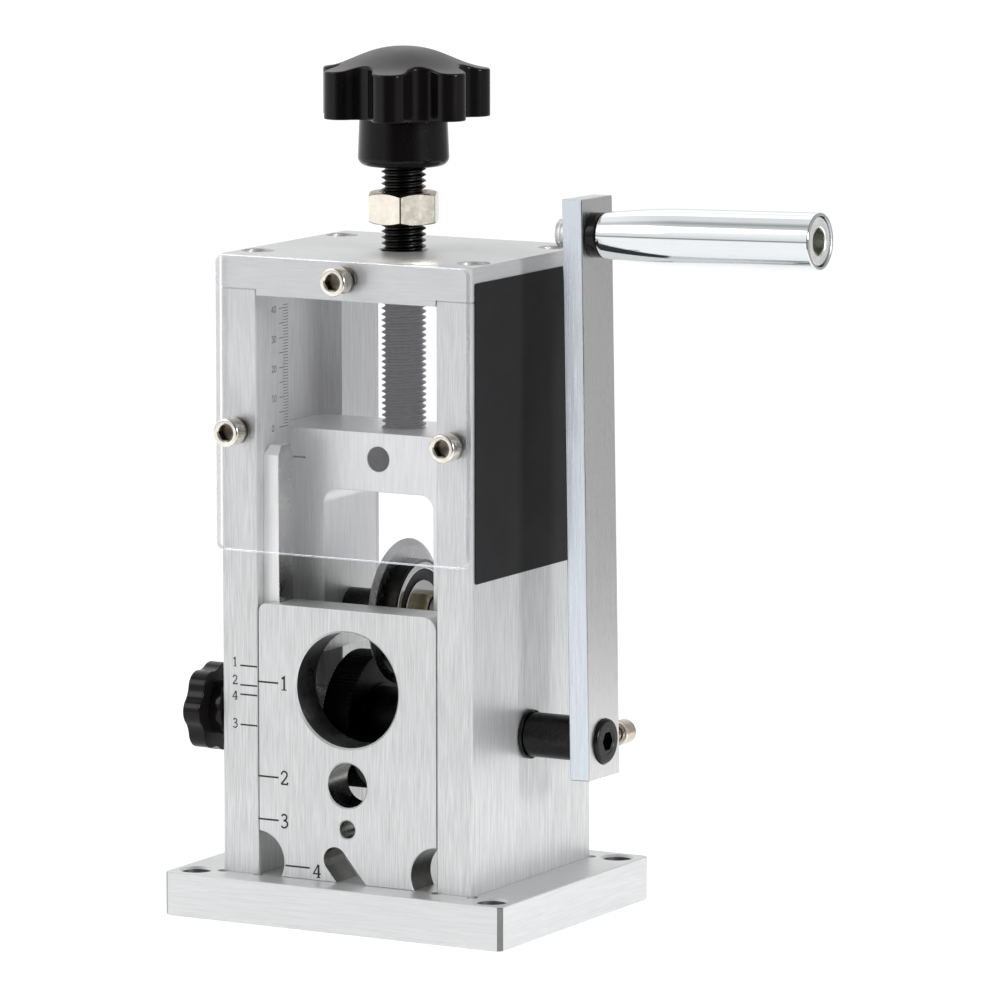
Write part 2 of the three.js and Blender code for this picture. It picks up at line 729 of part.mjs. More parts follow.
const hubBoreRadius = axleBoreRadius + hubAxleClearance;
const hubProfile = [
  [hubBoreRadius, spigotLeft], [hubSpigotRadius, spigotLeft], [hubSpigotRadius, hubLeft],
  [hubRadius, hubLeft], [hubRadius, hubRight - edgeChamfer], [hubRadius - edgeChamfer, hubRight],
  [bearingRadius + runningGap, hubRight], [bearingRadius + runningGap, bearingLeft],
  [hubBoreRadius, bearingLeft],
];
add('blade_hub', alongX(turned(hubProfile, mediumSides)), blackSteel, bladeGroup);

add('blade_clamp_ring',
  alongX(tube(hubSpigotRadius + runningGap, clampRingRadius, spigotLeft, -bladeHalf, mediumSides)),
  blackSteel, bladeGroup);
const outerRingBore = bearingRadius - bearingOuterRingWall;
add('bearing_outer_ring',
  alongX(tube(outerRingBore, bearingRadius, bearingLeft, bearingRight, mediumSides)),
  bladeSteel, bladeGroup);
add('bearing_inner_ring',
  alongX(tube(axleBoreRadius, bearingInnerRingRadius, bearingLeft, bearingRight, mediumSides)),
  bladeSteel, bladeGroup);

const axleNutRight = bearingRight + axleNutWidth;
const axleNut = machined(
  hexPrism(axleNutAcrossFlats, bearingRight, axleNutRight),
  [rod(axleBoreRadius, bearingRight - cutOverrun, axleNutRight + cutOverrun, mediumSides)],
);
add('axle_nut', alongX(axleNut), bronze, bladeGroup);
const sleeveEnd = windowHalf - runningGap;
for (const [name, start, end] of [
  ['axle_sleeve_left', -sleeveEnd, spigotLeft - runningGap],
  ['axle_sleeve_right', axleNutRight + runningGap, sleeveEnd],
]) {
  const sleeve = tube(axleBoreRadius, axleSleeveRadius, start, end, mediumSides);
  add(name, alongX(sleeve), bladeSteel, bladeGroup);
}
add('blade_axle',
  alongX(rod(axleRadius, -carrierHalf + runningGap, carrierHalf - runningGap, mediumSides, edgeChamfer)),
  bladeSteel, bladeGroup);

// Bushes in the side plates
const bushOuter = bushBore + bushSleeveWall;
const bushEnd = bushSeatEnd - runningGap;
for (const [name, side] of [['bush_left', -1], ['bush_right', 1]]) {
  const profile = [
    [bushBore, grooveFloorX - bushFlangeThickness], [bushFlangeRadius, grooveFloorX - bushFlangeThickness],
    [bushFlangeRadius, grooveFloorX], [bushOuter, grooveFloorX], [bushOuter, bushEnd],
    [bushBore, bushEnd],
  ];
  const bush = add(name, alongX(turned(profile, mediumSides)), bronze);
  bush.position.set(0, shaftY, shaftHeight);
  bush.rotation.z = side < 0 ? Math.PI : 0;
}

// Everything that turns with the crank, leaning with the arm
const crank = new THREE.Group();
crank.position.set(0, shaftY, shaftHeight);
crank.rotation.x = armLean;
part.add(crank);
const armInner = bodyWidth / 2 + armStandOff;
const armOuter = armInner + armThickness;
const shaftEnd = bodyWidth / 2 + shaftOutreach;
const shaftStart = -bodyWidth / 2 + runningGap;
const shaftRod = rod(shaftRadius, shaftStart, shaftEnd, mediumSides, shaftEndChamfer);
const shaftSocket = hexPrism(shaftSocketAcrossFlats, shaftEnd - shaftSocketDepth, shaftEnd + cutOverrun);
add('drive_shaft', alongX(machined(shaftRod, [shaftSocket])), blackSteel, crank);

// A feed wheel's toothed outline
const wheelShape = new THREE.Shape();
for (let i = 0; i < 2 * wheelTeeth; i += 1) {
  const angle = (Math.PI * i) / wheelTeeth;
  const radius = i % 2 === 0 ? wheelRadius : wheelRadius - wheelToothDepth;
  const corner = [radius * Math.cos(angle), radius * Math.sin(angle)];
  if (i === 0) {
    wheelShape.moveTo(...corner);
  } else {
    wheelShape.lineTo(...corner);
  }
}
wheelShape.closePath();
const wheelBore = rod(bushBore, wheelGapHalf - cutOverrun, wheelOuterEnd + cutOverrun, mediumSides);
for (const [name, side] of [['feed_wheel_left', -1], ['feed_wheel_right', 1]]) {
  const wheel = machined(plate(wheelShape, wheelGapHalf, wheelOuterEnd, edgeChamfer), [wheelBore]);
  add(name, alongX(wheel), blackSteel, crank).rotation.y = side < 0 ? Math.PI : 0;
}
add('wheel_spacer',
  alongX(tube(bushBore, wheelSpacerRadius, -wheelGapHalf, wheelGapHalf, mediumSides)), blackSteel, crank);
const spacerEnd = grooveFloorX - bushFlangeThickness - runningGap;
for (const [name, side] of [['shaft_spacer_left', -1], ['shaft_spacer_right', 1]]) {
  const spacer = tube(bushBore, shaftSpacerRadius, wheelOuterEnd, spacerEnd, mediumSides);
  add(name, alongX(spacer), bladeSteel, crank).rotation.y = side < 0 ? Math.PI : 0;
}
const ringLeft = bodyWidth / 2 + runningGap;
const shaftRing = tube(bushBore, shaftRingRadius, ringLeft, ringLeft + shaftRingThickness, mediumSides);
add('shaft_ring', alongX(shaftRing), blackSteel, crank);

// Crank arm, tilted on the shaft so that its upper end comes nearer to the body, with the screw in
// its rear edge that holds the shaft
const armMiddle = (armInner + armOuter) / 2;
const armTurn = new THREE.Group();
armTurn.position.x = armMiddle;
armTurn.rotation.y = -armTilt;
crank.add(armTurn);
const arm = new THREE.Group();
arm.position.x = -armMiddle;
armTurn.add(arm);
const armRise = armLength - armShaftFromEnd;
const throwLength = armRise - armHandleFromEnd;
const armShape = cutRectangle(-armWidth / 2, armWidth / 2, -armShaftFromEnd, armRise, edgeChamfer);
const armBlank = plate(armShape, armInner, armOuter, edgeChamfer)
  .rotateX(Math.PI / 2)
  .rotateZ(Math.PI / 2);
const armShaftHole = alongX(
  rod(shaftRadius + runningGap, armInner - cutOverrun, armOuter + cutOverrun, mediumSides),
);
const armTools = [
  armShaftHole.translate(-armMiddle, 0, 0).rotateY(armTilt).translate(armMiddle, 0, 0),
  alongX(drill(handleBoltRadius + runningGap, armInner, armOuter, mediumSides, edgeChamfer))
    .translate(0, handleOffset, throwLength),
  alongY(rod(armScrewRadius + runningGap, 0, armWidth, smallSides)).translate(armMiddle, 0, 0),
];
add('crank_arm', machined(armBlank, armTools), aluminium, arm);

const armScrewHead = armWidth / 2 + armScrewStandOff + armWasherThickness;
const armScrewShank = armScrewHead - shaftRadius - runningGap;
const armScrew = capScrew(
  { radius: armScrewHeadRadius, height: armScrewHeadHeight },
  { radius: armScrewRadius, length: armScrewShank },
  { acrossFlats: armScrewSocketAcrossFlats, depth: armScrewSocketDepth },
);
add('crank_screw', alongY(armScrew), nickel, arm).position.set(armMiddle, armScrewHead, 0);
const armWasher = springWasher(armScrewRadius + runningGap, armScrewHeadRadius, armWasherThickness);
add('crank_spring_washer', alongY(armWasher), nickel, arm)
  .position.set(armMiddle, armScrewHead - armWasherThickness, 0);

// Handle: a bolt screwed into the arm, a spacer, and the sleeve that turns on the bolt
const handle = new THREE.Group();
handle.position.set(0, handleOffset, throwLength);
arm.add(handle);
const sleeveLeft = armOuter + handleSpacerLength + runningGap;
const sleeveRight = sleeveLeft + handleLength;
const boltHeadLeft = sleeveRight - handleBoltRecess - handleBoltHeadHeight;
const handleBolt = capScrew(
  { radius: handleBoltHeadRadius, height: handleBoltHeadHeight },
  { radius: handleBoltRadius, length: boltHeadLeft - armInner + handleBoltInner },
  { acrossFlats: handleBoltSocketAcrossFlats, depth: handleBoltSocketDepth },
);
add('handle_bolt', alongX(handleBolt), nickel, handle).position.x = boltHeadLeft;
const handleBore = handleBoltRadius + runningGap;
const handleSpacer = tube(
  handleBore, handleSpacerRadius, armOuter, armOuter + handleSpacerLength, mediumSides, edgeChamfer,
);
add('handle_spacer', alongX(handleSpacer), blackPlastic, handle);
const headRecess = handleBoltHeadRadius + runningGap;
const sleeveProfile = [
  [handleBore, sleeveLeft], [handleInnerRadius - edgeChamfer, sleeveLeft],
  [handleInnerRadius, sleeveLeft + edgeChamfer],
];
const swellSteps = 5;
for (let i = 1; i <= swellSteps; i += 1) {
  const share = i / swellSteps;
  const smooth = Math.sin((Math.PI / 2) * share);
  sleeveProfile.push([
    handleInnerRadius + (handleOuterRadius - handleInnerRadius) * smooth,
    sleeveLeft + edgeChamfer + handleSwellLength * share,
  ]);
}
sleeveProfile.push(
  [handleOuterRadius, sleeveRight - handleEndRound],
  [handleOuterRadius - roundInset * handleEndRound, sleeveRight - roundInset * handleEndRound],
  [headRecess, sleeveRight],
  [headRecess, boltHeadLeft - runningGap],
  [handleBore, boltHeadLeft - runningGap],
);
add('handle_sleeve', alongX(turned(sleeveProfile, mediumSides)), chrome, handle);

// Guide plate: three wire holes, a slanted notch and relieved lower corners
const guideHalf = innerHalf - guideSideGap;
const reliefX = innerHalf;
const reliefEnd = Math.acos((guideHalf - reliefX) / guideReliefRadius);
const guideShape = new THREE.Shape();
guideShape.moveTo(-reliefX + guideReliefRadius, 0);
guideShape.lineTo(reliefX - guideReliefRadius, 0);
guideShape.absarc(reliefX, guideReliefHeight, guideReliefRadius, Math.PI, reliefEnd, true);
guideShape.absarc(
  guideHalf - guideRightCornerRadius, guideHeight - guideRightCornerRadius, guideRightCornerRadius,
  0, Math.PI / 2, false,
);
guideShape.absarc(
  -guideHalf + guideLeftCornerRadius, guideHeight - guideLeftCornerRadius, guideLeftCornerRadius,
  Math.PI / 2, Math.PI, false,
);
guideShape.absarc(-reliefX, guideReliefHeight, guideReliefRadius, Math.PI - reliefEnd, 0, true);
guideShape.closePath();
const guideBlank = plate(guideShape, 0, guideThickness, edgeChamfer)
  .rotateX(Math.PI / 2)
  .translate(0, guideThickness, 0);
const guideTools = guideHoles.map(({ radius, height, sides }) => (
  alongY(drill(radius, 0, guideThickness, sides, guideHoleChamfer)).translate(0, 0, height)
));
const notchRadius = notchWidth / 2;
const notchReach = 2 * notchHeight;
const notchShape = new THREE.Shape();
notchShape.absarc(0, 0, notchRadius, 0, Math.PI, false);
notchShape.lineTo(-notchRadius, -notchReach);
notchShape.lineTo(notchRadius, -notchReach);
notchShape.closePath();
guideTools.push(
  plate(notchShape, -cutOverrun, guideThickness + cutOverrun, 0)
    .rotateX(Math.PI / 2)
    .rotateY(-notchTilt)
    .translate(notchOffset, guideThickness, notchHeight),
);
const stripInnerX = -innerHalf + stripWidth;
guideTools.push(
  block(-guideHalf - cutOverrun, stripInnerX + runningGap, guideLipThickness, guideThickness + cutOverrun,
    -cutOverrun, guideHeight + cutOverrun),
);
add('guide_plate', machined(guideBlank, guideTools), aluminium).position.set(0, frontY, baseThickness);

// Clamp strip, held above the guide plate's relief, with its top bevelled towards the front
const stripBottom = baseThickness + stripAboveBase;
const stripShape = cutRectangle(-innerHalf, stripInnerX, stripFrontY, guideBackY, edgeChamfer);
const stripBevelCut = block(
  -innerHalf - cutOverrun, stripInnerX + cutOverrun, -stripBevel * 2, 0, 0, stripBevel * 2,
)
  .rotateX(THREE.MathUtils.degToRad(-45))
  .translate(0, stripFrontY, stripBottom + stripHeight - stripBevel);
const stripBlank = plate(stripShape, stripBottom, stripBottom + stripHeight, edgeChamfer);
add('clamp_strip', machined(stripBlank, [stripBevelCut]), aluminium);

// Side knob with its stud, and the pad that the stud presses on the strip
const clamp = new THREE.Group();
clamp.position.set(-innerHalf, clampY, clampHeight);
part.add(clamp);
add('clamp_pad', alongX(rod(clampPadRadius, -clampPadThickness, 0, smallSides)), bronze, clamp);
const clampHubRight = -sidePlateThickness - runningGap;
const studLeft = clampHubRight - clampStudGrip;
add('clamp_stud', alongX(rod(clampStudRadius, studLeft, -clampPadThickness, smallSides)), nickel, clamp);
const clampStar = starBody({
  outline: {
    valleyRadius: clampKnobValleyRadius,
    peakRadius: clampKnobRadius,
    lobeRadius: clampKnobLobeRadius,
  },
  height: clampKnobThickness,
  dome: clampKnobDome,
  edge: knobEdge,
}).translate(0, 0, clampKnobHubLength);
const clampHub = turned(
  [
    [0, 0], [clampKnobHubRadius, 0], [clampKnobHubRadius, clampKnobHubLength + cutOverrun],
    [0, clampKnobHubLength + cutOverrun],
  ],
  mediumSides,
);
const studBore = rod(clampStudRadius + runningGap, -cutOverrun, clampStudGrip + runningGap, smallSides);
const clampKnob = machined(machined(clampStar, [], [clampHub]), [studBore]);
clampKnob.rotateZ(clampKnobTurn).rotateY(-Math.PI / 2);
add('clamp_knob', clampKnob, blackPlastic, clamp).position.x = clampHubRight;

// Clear shield, spaced off the body, with its screws
const shieldShape = roundedRectangle(-bodyWidth / 2, bodyWidth / 2, 0, shieldHeight, shieldCornerRadius);
const shieldBlank = plate(shieldShape, 0, shieldThickness, edgeChamfer / 2, shieldCornerSegments)
  .rotateX(Math.PI / 2)
  .translate(0, shieldThickness, 0);
const shieldTools = shieldScrewPlaces.map(([x, z]) => (
  alongY(rod(screwHoleRadius, -cutOverrun, shieldThickness + cutOverrun, smallSides))
    .translate(x, 0, z - shieldBottom)
));
add('clear_shield', machined(shieldBlank, shieldTools), acrylic).position.set(0, shieldFrontY, shieldBottom);

const shieldScrewLength = frontY + shieldScrewDepth - shieldFrontY;
shieldScrewPlaces.forEach(([x, z], i) => {
  const stack = new THREE.Group();
  stack.position.set(x, 0, z);
  stack.rotation.x = Math.PI / 2;
  part.add(stack);
  const number = i + 1;
  const spacer = tube(screwHoleRadius, shieldSpacerRadius, 0, shieldSpacing, smallSides);
  add(`shield_spacer_${number}`, spacer, nickel, stack).position.z = -frontY;
  const screw = frameScrew(shieldScrewLength, shieldScrewHeadRadius, shieldScrewHeadHeight);
  add(`shield_screw_${number}`, screw, nickel, stack).position.z = -shieldFrontY;
});

// Label on the right side, across the side plate and the top plate
const labelTop = bodyTop - labelBelowTop;
const labelFront = frontY + labelFromFront;
add('side_label',
  block(bodyWidth / 2, bodyWidth / 2 + labelThickness, labelFront, labelFront + labelWidth,
    labelTop - labelHeight, labelTop),
  labelBlack);

export default part;
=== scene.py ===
"""Looks of the hand crank wire stripper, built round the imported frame.

Shapes are worked out in millimetres in the frame's axes and scaled to metres when they are finished.
The camera, lights and floor come first, then the materials, then the pieces, then the ink marks.
"""
import json
import math

import bmesh
import bpy
from mathutils import Matrix, Vector
from mathutils.geometry import tessellate_polygon


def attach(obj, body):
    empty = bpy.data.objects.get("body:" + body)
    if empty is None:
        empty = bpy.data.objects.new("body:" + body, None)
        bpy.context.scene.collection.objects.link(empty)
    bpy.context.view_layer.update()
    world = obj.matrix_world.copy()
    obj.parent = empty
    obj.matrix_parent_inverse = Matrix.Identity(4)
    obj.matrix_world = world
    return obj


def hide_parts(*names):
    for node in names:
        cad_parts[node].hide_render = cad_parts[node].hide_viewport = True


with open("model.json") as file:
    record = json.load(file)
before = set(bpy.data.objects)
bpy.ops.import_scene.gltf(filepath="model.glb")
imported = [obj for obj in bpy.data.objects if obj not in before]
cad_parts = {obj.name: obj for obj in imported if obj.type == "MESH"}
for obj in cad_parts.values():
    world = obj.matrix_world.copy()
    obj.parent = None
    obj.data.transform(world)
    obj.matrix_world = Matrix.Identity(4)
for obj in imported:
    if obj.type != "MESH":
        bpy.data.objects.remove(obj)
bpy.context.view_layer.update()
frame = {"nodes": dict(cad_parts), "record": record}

NODES = frame["nodes"]
MM = 0.001
FULL_TURN = 2 * math.pi

# Facets round a circle
FINE = 96
MEDIUM = 64
SMALL = 40
# Rounding of most plates' edges
EDGE = 0.4

# Camera, at the photograph's viewing angle
CAMERA_PLACE = (1.2203, -2.1319, 0.4907)
CAMERA_AZIMUTH = math.radians(29.058)
CAMERA_PITCH = math.radians(8.138)
CAMERA_LENS = 265.3
SENSOR_WIDTH = 36.0

# Floor
FLOOR_HALF = 0.5
FLOOR_COLOUR = (0.9, 0.9, 0.9, 1)
FLOOR_GLOW = 0.45

# Softboxes: place, target, size and power
SOFTBOXES = {
    "key_box": ((-1.6, -1.7, 1.5), (0, 0, 0.12), 1.2, 10),
    "back_box": ((-0.6, 1.0, 1.5), (0, 0, 0.25), 1.2, 2.5),
    "right_box": ((1.55, -0.25, 0.6), (0.05, 0, 0.15), 0.35, 14),
}

# Brightness of the studio's walls, by direction in degrees anticlockwise from +X
WALL_STOPS = [
    (-180, 1.3), (-155, 1.5), (-110, 1.5), (-98, 0.6), (-85, 0.06), (-40, 0.05), (-27, 0.3), (-15, 0.65),
    (20, 0.65), (40, 0.6), (80, 0.6), (95, 1.05), (120, 1.2), (180, 1.3),
]
# The front left horizon, where the floor paper ends: share of the wall's brightness by height (sine)
HORIZON_STOPS = [(-0.06, 1.0), (-0.03, 0.3), (0.02, 0.25), (0.05, 0.75), (0.3, 0.95), (0.5, 1.0)]
FRONT_LEFT = (-0.497, -0.868, 0.0)
CEILING = 0.4
CEILING_PANEL = (-0.5, 0.1, 0.86)
PANEL_GLOW = 0.8
SEEN_BACKGROUND = 1.05


def linked(name, data):
    """A new object in the scene."""
    obj = bpy.data.objects.new(name, data)
    bpy.context.collection.objects.link(obj)
    return obj


class Graph:
    """Short calls that add nodes to a tree and link them."""

    def __init__(self, tree):
        self.tree = tree

    def put(self, socket, value):
        """Links a socket to a node's output, or sets its number."""
        if isinstance(value, bpy.types.NodeSocket):
            self.tree.links.new(value, socket)
        else:
            socket.default_value = value

    def node(self, kind, inputs=None, **settings):
        """The outputs of a new node, whose inputs are given by name or number."""
        made = self.tree.nodes.new(f"ShaderNode{kind}")
        for key, value in settings.items():
            setattr(made, key, value)
        for socket, value in (inputs or {}).items():
            self.put(made.inputs[socket], value)
        return made.outputs

    def maths(self, operation, *values):
        return self.node("Math", dict(enumerate(values)), operation=operation)[0]

    def ranged(self, value, from_low, from_high, low, high):
        return self.node("MapRange", {
            "Value": value, "From Min": from_low, "From Max": from_high, "To Min": low, "To Max": high,
        })[0]


class Paint(Graph):
    """A material and its nodes."""

    def __init__(self, name, **settings):
        self.material = bpy.data.materials.new(name)
        self.material.use_nodes = True
        super().__init__(self.material.node_tree)
        self.shader = self.tree.nodes["Principled BSDF"]
        for setting, value in settings.items():
            self.set(setting.replace("_", " "), value)

    def set(self, socket, value):
        self.put(self.shader.inputs[socket], value)

    def place(self):
        """The point on the piece, in metres, which moves with the piece."""
        return self.node("TexCoord")["Object"]

    def noise(self, vector, scale=1.0, detail=2.0, roughness=0.5):
        inputs = {"Vector": vector, "Scale": scale, "Detail": detail, "Roughness": roughness}
        return self.node("TexNoise", inputs)[0]

    def spread(self, noise, low, high):
        """A noise's middle part as a number from low to high."""
        return self.ranged(noise, 0.3, 0.7, low, high)

    def colour(self, noise, colour, contrast):
        """Sets the base colour, which a noise makes darker and lighter by a share of itself."""
        dark, light = ((*[min(1.0, c * share) for c in colour], 1) for share in (1 - contrast, 1 + contrast))
        inputs = {0: self.spread(noise, 0.0, 1.0), 6: dark, 7: light}
        self.set("Base Color", self.node("Mix", inputs, data_type="RGBA")[2])

    def bump(self, height, strength, distance):
        inputs = {"Strength": strength, "Distance": distance, "Height": height}
        self.set("Normal", self.node("Bump", inputs)[0])


def stage_camera():
    camera = bpy.data.cameras.new("camera")
    camera.lens = CAMERA_LENS
    camera.sensor_width = SENSOR_WIDTH
    camera.clip_end = 100
    obj = linked("camera", camera)
    obj.location = CAMERA_PLACE
    obj.rotation_euler = (math.pi / 2 - CAMERA_PITCH, 0, CAMERA_AZIMUTH)
    bpy.context.scene.camera = obj


def stage_world():
    """Studio walls: bright at the front left, dark round the camera, softer behind."""
    scene = bpy.context.scene
    scene.view_settings.view_transform = "Standard"
    world = bpy.data.worlds.new("studio")
    scene.world = world
    world.use_nodes = True
    graph = Graph(world.node_tree)
    graph.tree.nodes.clear()
    maths = graph.maths
    direction = graph.node("TexCoord")["Generated"]
    along = graph.node("SeparateXYZ", {0: direction})

    def ramp(value, stops):
        output = graph.node("ValToRGB", {0: value})[0]
        elements = output.node.color_ramp.elements
        elements.remove(elements[-1])
        elements[0].position = stops[0][0]
        for number, (place, level) in enumerate(stops):
            element = elements.new(place) if number else elements[0]
            element.color = (level, level, level, 1)
        return output

    def towards(target, low, high, level):
        """From 0 to a level, as the direction nears a target."""
        near = graph.node("VectorMath", {0: direction, 1: target}, operation="DOT_PRODUCT")["Value"]
        return graph.ranged(near, low, high, 0, level)

    turn = maths("ARCTAN2", along["Y"], along["X"])
    round_share = graph.ranged(turn, -math.pi, math.pi, 0, 1)
    walls_level = ramp(round_share, [((angle + 180) / 360, level) for angle, level in WALL_STOPS])
    height_share = maths("MULTIPLY_ADD", along["Z"], 0.5, 0.5)
    horizon = ramp(height_share, [((height + 1) / 2, level) for height, level in HORIZON_STOPS])
    front_left = towards(FRONT_LEFT, 0.55, 0.85, 1)
    dimmed = maths("SUBTRACT", 1.0, maths("MULTIPLY", front_left, maths("SUBTRACT", 1.0, horizon)))
    level = maths("MULTIPLY", walls_level, dimmed)
    overhead = graph.ranged(along["Z"], 0.55, 0.85, 0, 1)
    to_ceiling = maths("MULTIPLY", overhead, maths("SUBTRACT", CEILING, level))
    panel = towards(CEILING_PANEL, 0.9, 0.97, PANEL_GLOW)
    walls = graph.node("Background", {"Strength": maths("ADD", maths("ADD", level, to_ceiling), panel)})[0]
    seen = graph.node("Background", {"Color": (1, 1, 1, 1), "Strength": SEEN_BACKGROUND})[0]
    seen_ray = graph.node("LightPath")["Is Camera Ray"]
    graph.node("OutputWorld", {"Surface": graph.node("MixShader", {0: seen_ray, 1: walls, 2: seen})[0]})


def stage_lights():
    for name, (place, target, size, power) in SOFTBOXES.items():
        light = bpy.data.lights.new(name, "AREA")
        light.shape = "SQUARE"
        light.size = size
        light.energy = power
        obj = linked(name, light)
        obj.location = place
        obj.rotation_euler = (Vector(target) - Vector(place)).to_track_quat("-Z", "Y").to_euler()


def stage_floor():
    mesh = bpy.data.meshes.new("floor")
    reach = FLOOR_HALF
    corners = [(-reach, -reach, 0), (reach, -reach, 0), (reach, reach, 0), (-reach, reach, 0)]
    mesh.from_pydata(corners, [], [(0, 1, 2, 3)])
    paint = Paint("floor_paper", Base_Color=FLOOR_COLOUR, Roughness=0.9, Specular_IOR_Level=0.1,
                  Emission_Color=(1, 1, 1, 1), Emission_Strength=FLOOR_GLOW)
    mesh.materials.append(paint.material)
    linked("floor", mesh)


def brushed_metal(name, colour, grain, contrast=0.2, roughness=0.38, width=0.00045, length=0.014,
                  metallic=0.6):
    """Metal with straight grain. grain gives the grain's axis on faces that look along X, Y and Z."""
    paint = Paint(name, Metallic=metallic)
    place = paint.place()
    normal = paint.node("SeparateXYZ", {0: paint.node("TexCoord")["Normal"]})

    def grained(along):
        scale = tuple(1 / length if axis == along else 1 / width for axis in "XYZ")
        return paint.node("Mapping", {"Vector": place, "Scale": scale})[0]

    vector = grained(grain[1])
    for axis, along in (("X", grain[0]), ("Z", grain[2])):
        faces = paint.maths("GREATER_THAN", paint.maths("ABSOLUTE", normal[axis]), 0.71)
        vector = paint.node("Mix", {0: faces, 4: vector, 5: grained(along)}, data_type="VECTOR")[1]
    streaks = paint.noise(vector, 1.0, 3.0, 0.65)
    clouds = paint.noise(place, 22.0)
    both = paint.maths("MULTIPLY_ADD", streaks, 0.8, paint.maths("MULTIPLY", clouds, 0.2))
    paint.colour(both, colour, contrast)
    paint.set("Roughness", paint.spread(streaks, roughness + 0.07, roughness - 0.07))
    paint.bump(streaks, 0.25, 0.00006)
    return paint.material


def smooth_metal(name, colour, roughness, mottle=0.04, grain_size=350.0):
    """Plated, ground or oiled metal: a faint mottle in colour and gloss."""
    paint = Paint(name, Metallic=1.0)
    mottled = paint.noise(paint.place(), grain_size, 3.0, 0.6)
    paint.colour(mottled, colour, mottle)
    paint.set("Roughness", paint.spread(mottled, roughness * 1.25, roughness * 0.75))
    paint.bump(mottled, 0.08, 0.00003)
    return paint.material


def black_finish(name, colour, roughness, metallic, mottle=0.25, grain_size=900.0, bump=0.1, gloss=0.5):
    """Blackened steel or moulded plastic: a fine grain, and broad soft changes in gloss."""
    paint = Paint(name, Metallic=metallic, Specular_IOR_Level=gloss)
    place = paint.place()
    fine = paint.noise(place, grain_size, 3.0, 0.6)
    paint.colour(fine, colour, mottle)
    paint.set("Roughness", paint.spread(paint.noise(place, 60.0), roughness - 0.05, roughness + 0.05))
    paint.bump(fine, bump, 0.00003)
    return paint.material


def clear_sheet(name, colour, alpha, roughness):
    """A clear sheet: what its faces reflect, laid thinly over what lies behind it."""
    paint = Paint(name, Metallic=1.0, Alpha=alpha)
    place = paint.place()
    paint.colour(paint.noise(place, 14.0), colour, 0.03)
    paint.set("Roughness", paint.spread(paint.noise(place, 180.0, 3.0), roughness * 0.7, roughness * 1.3))
    return paint.material


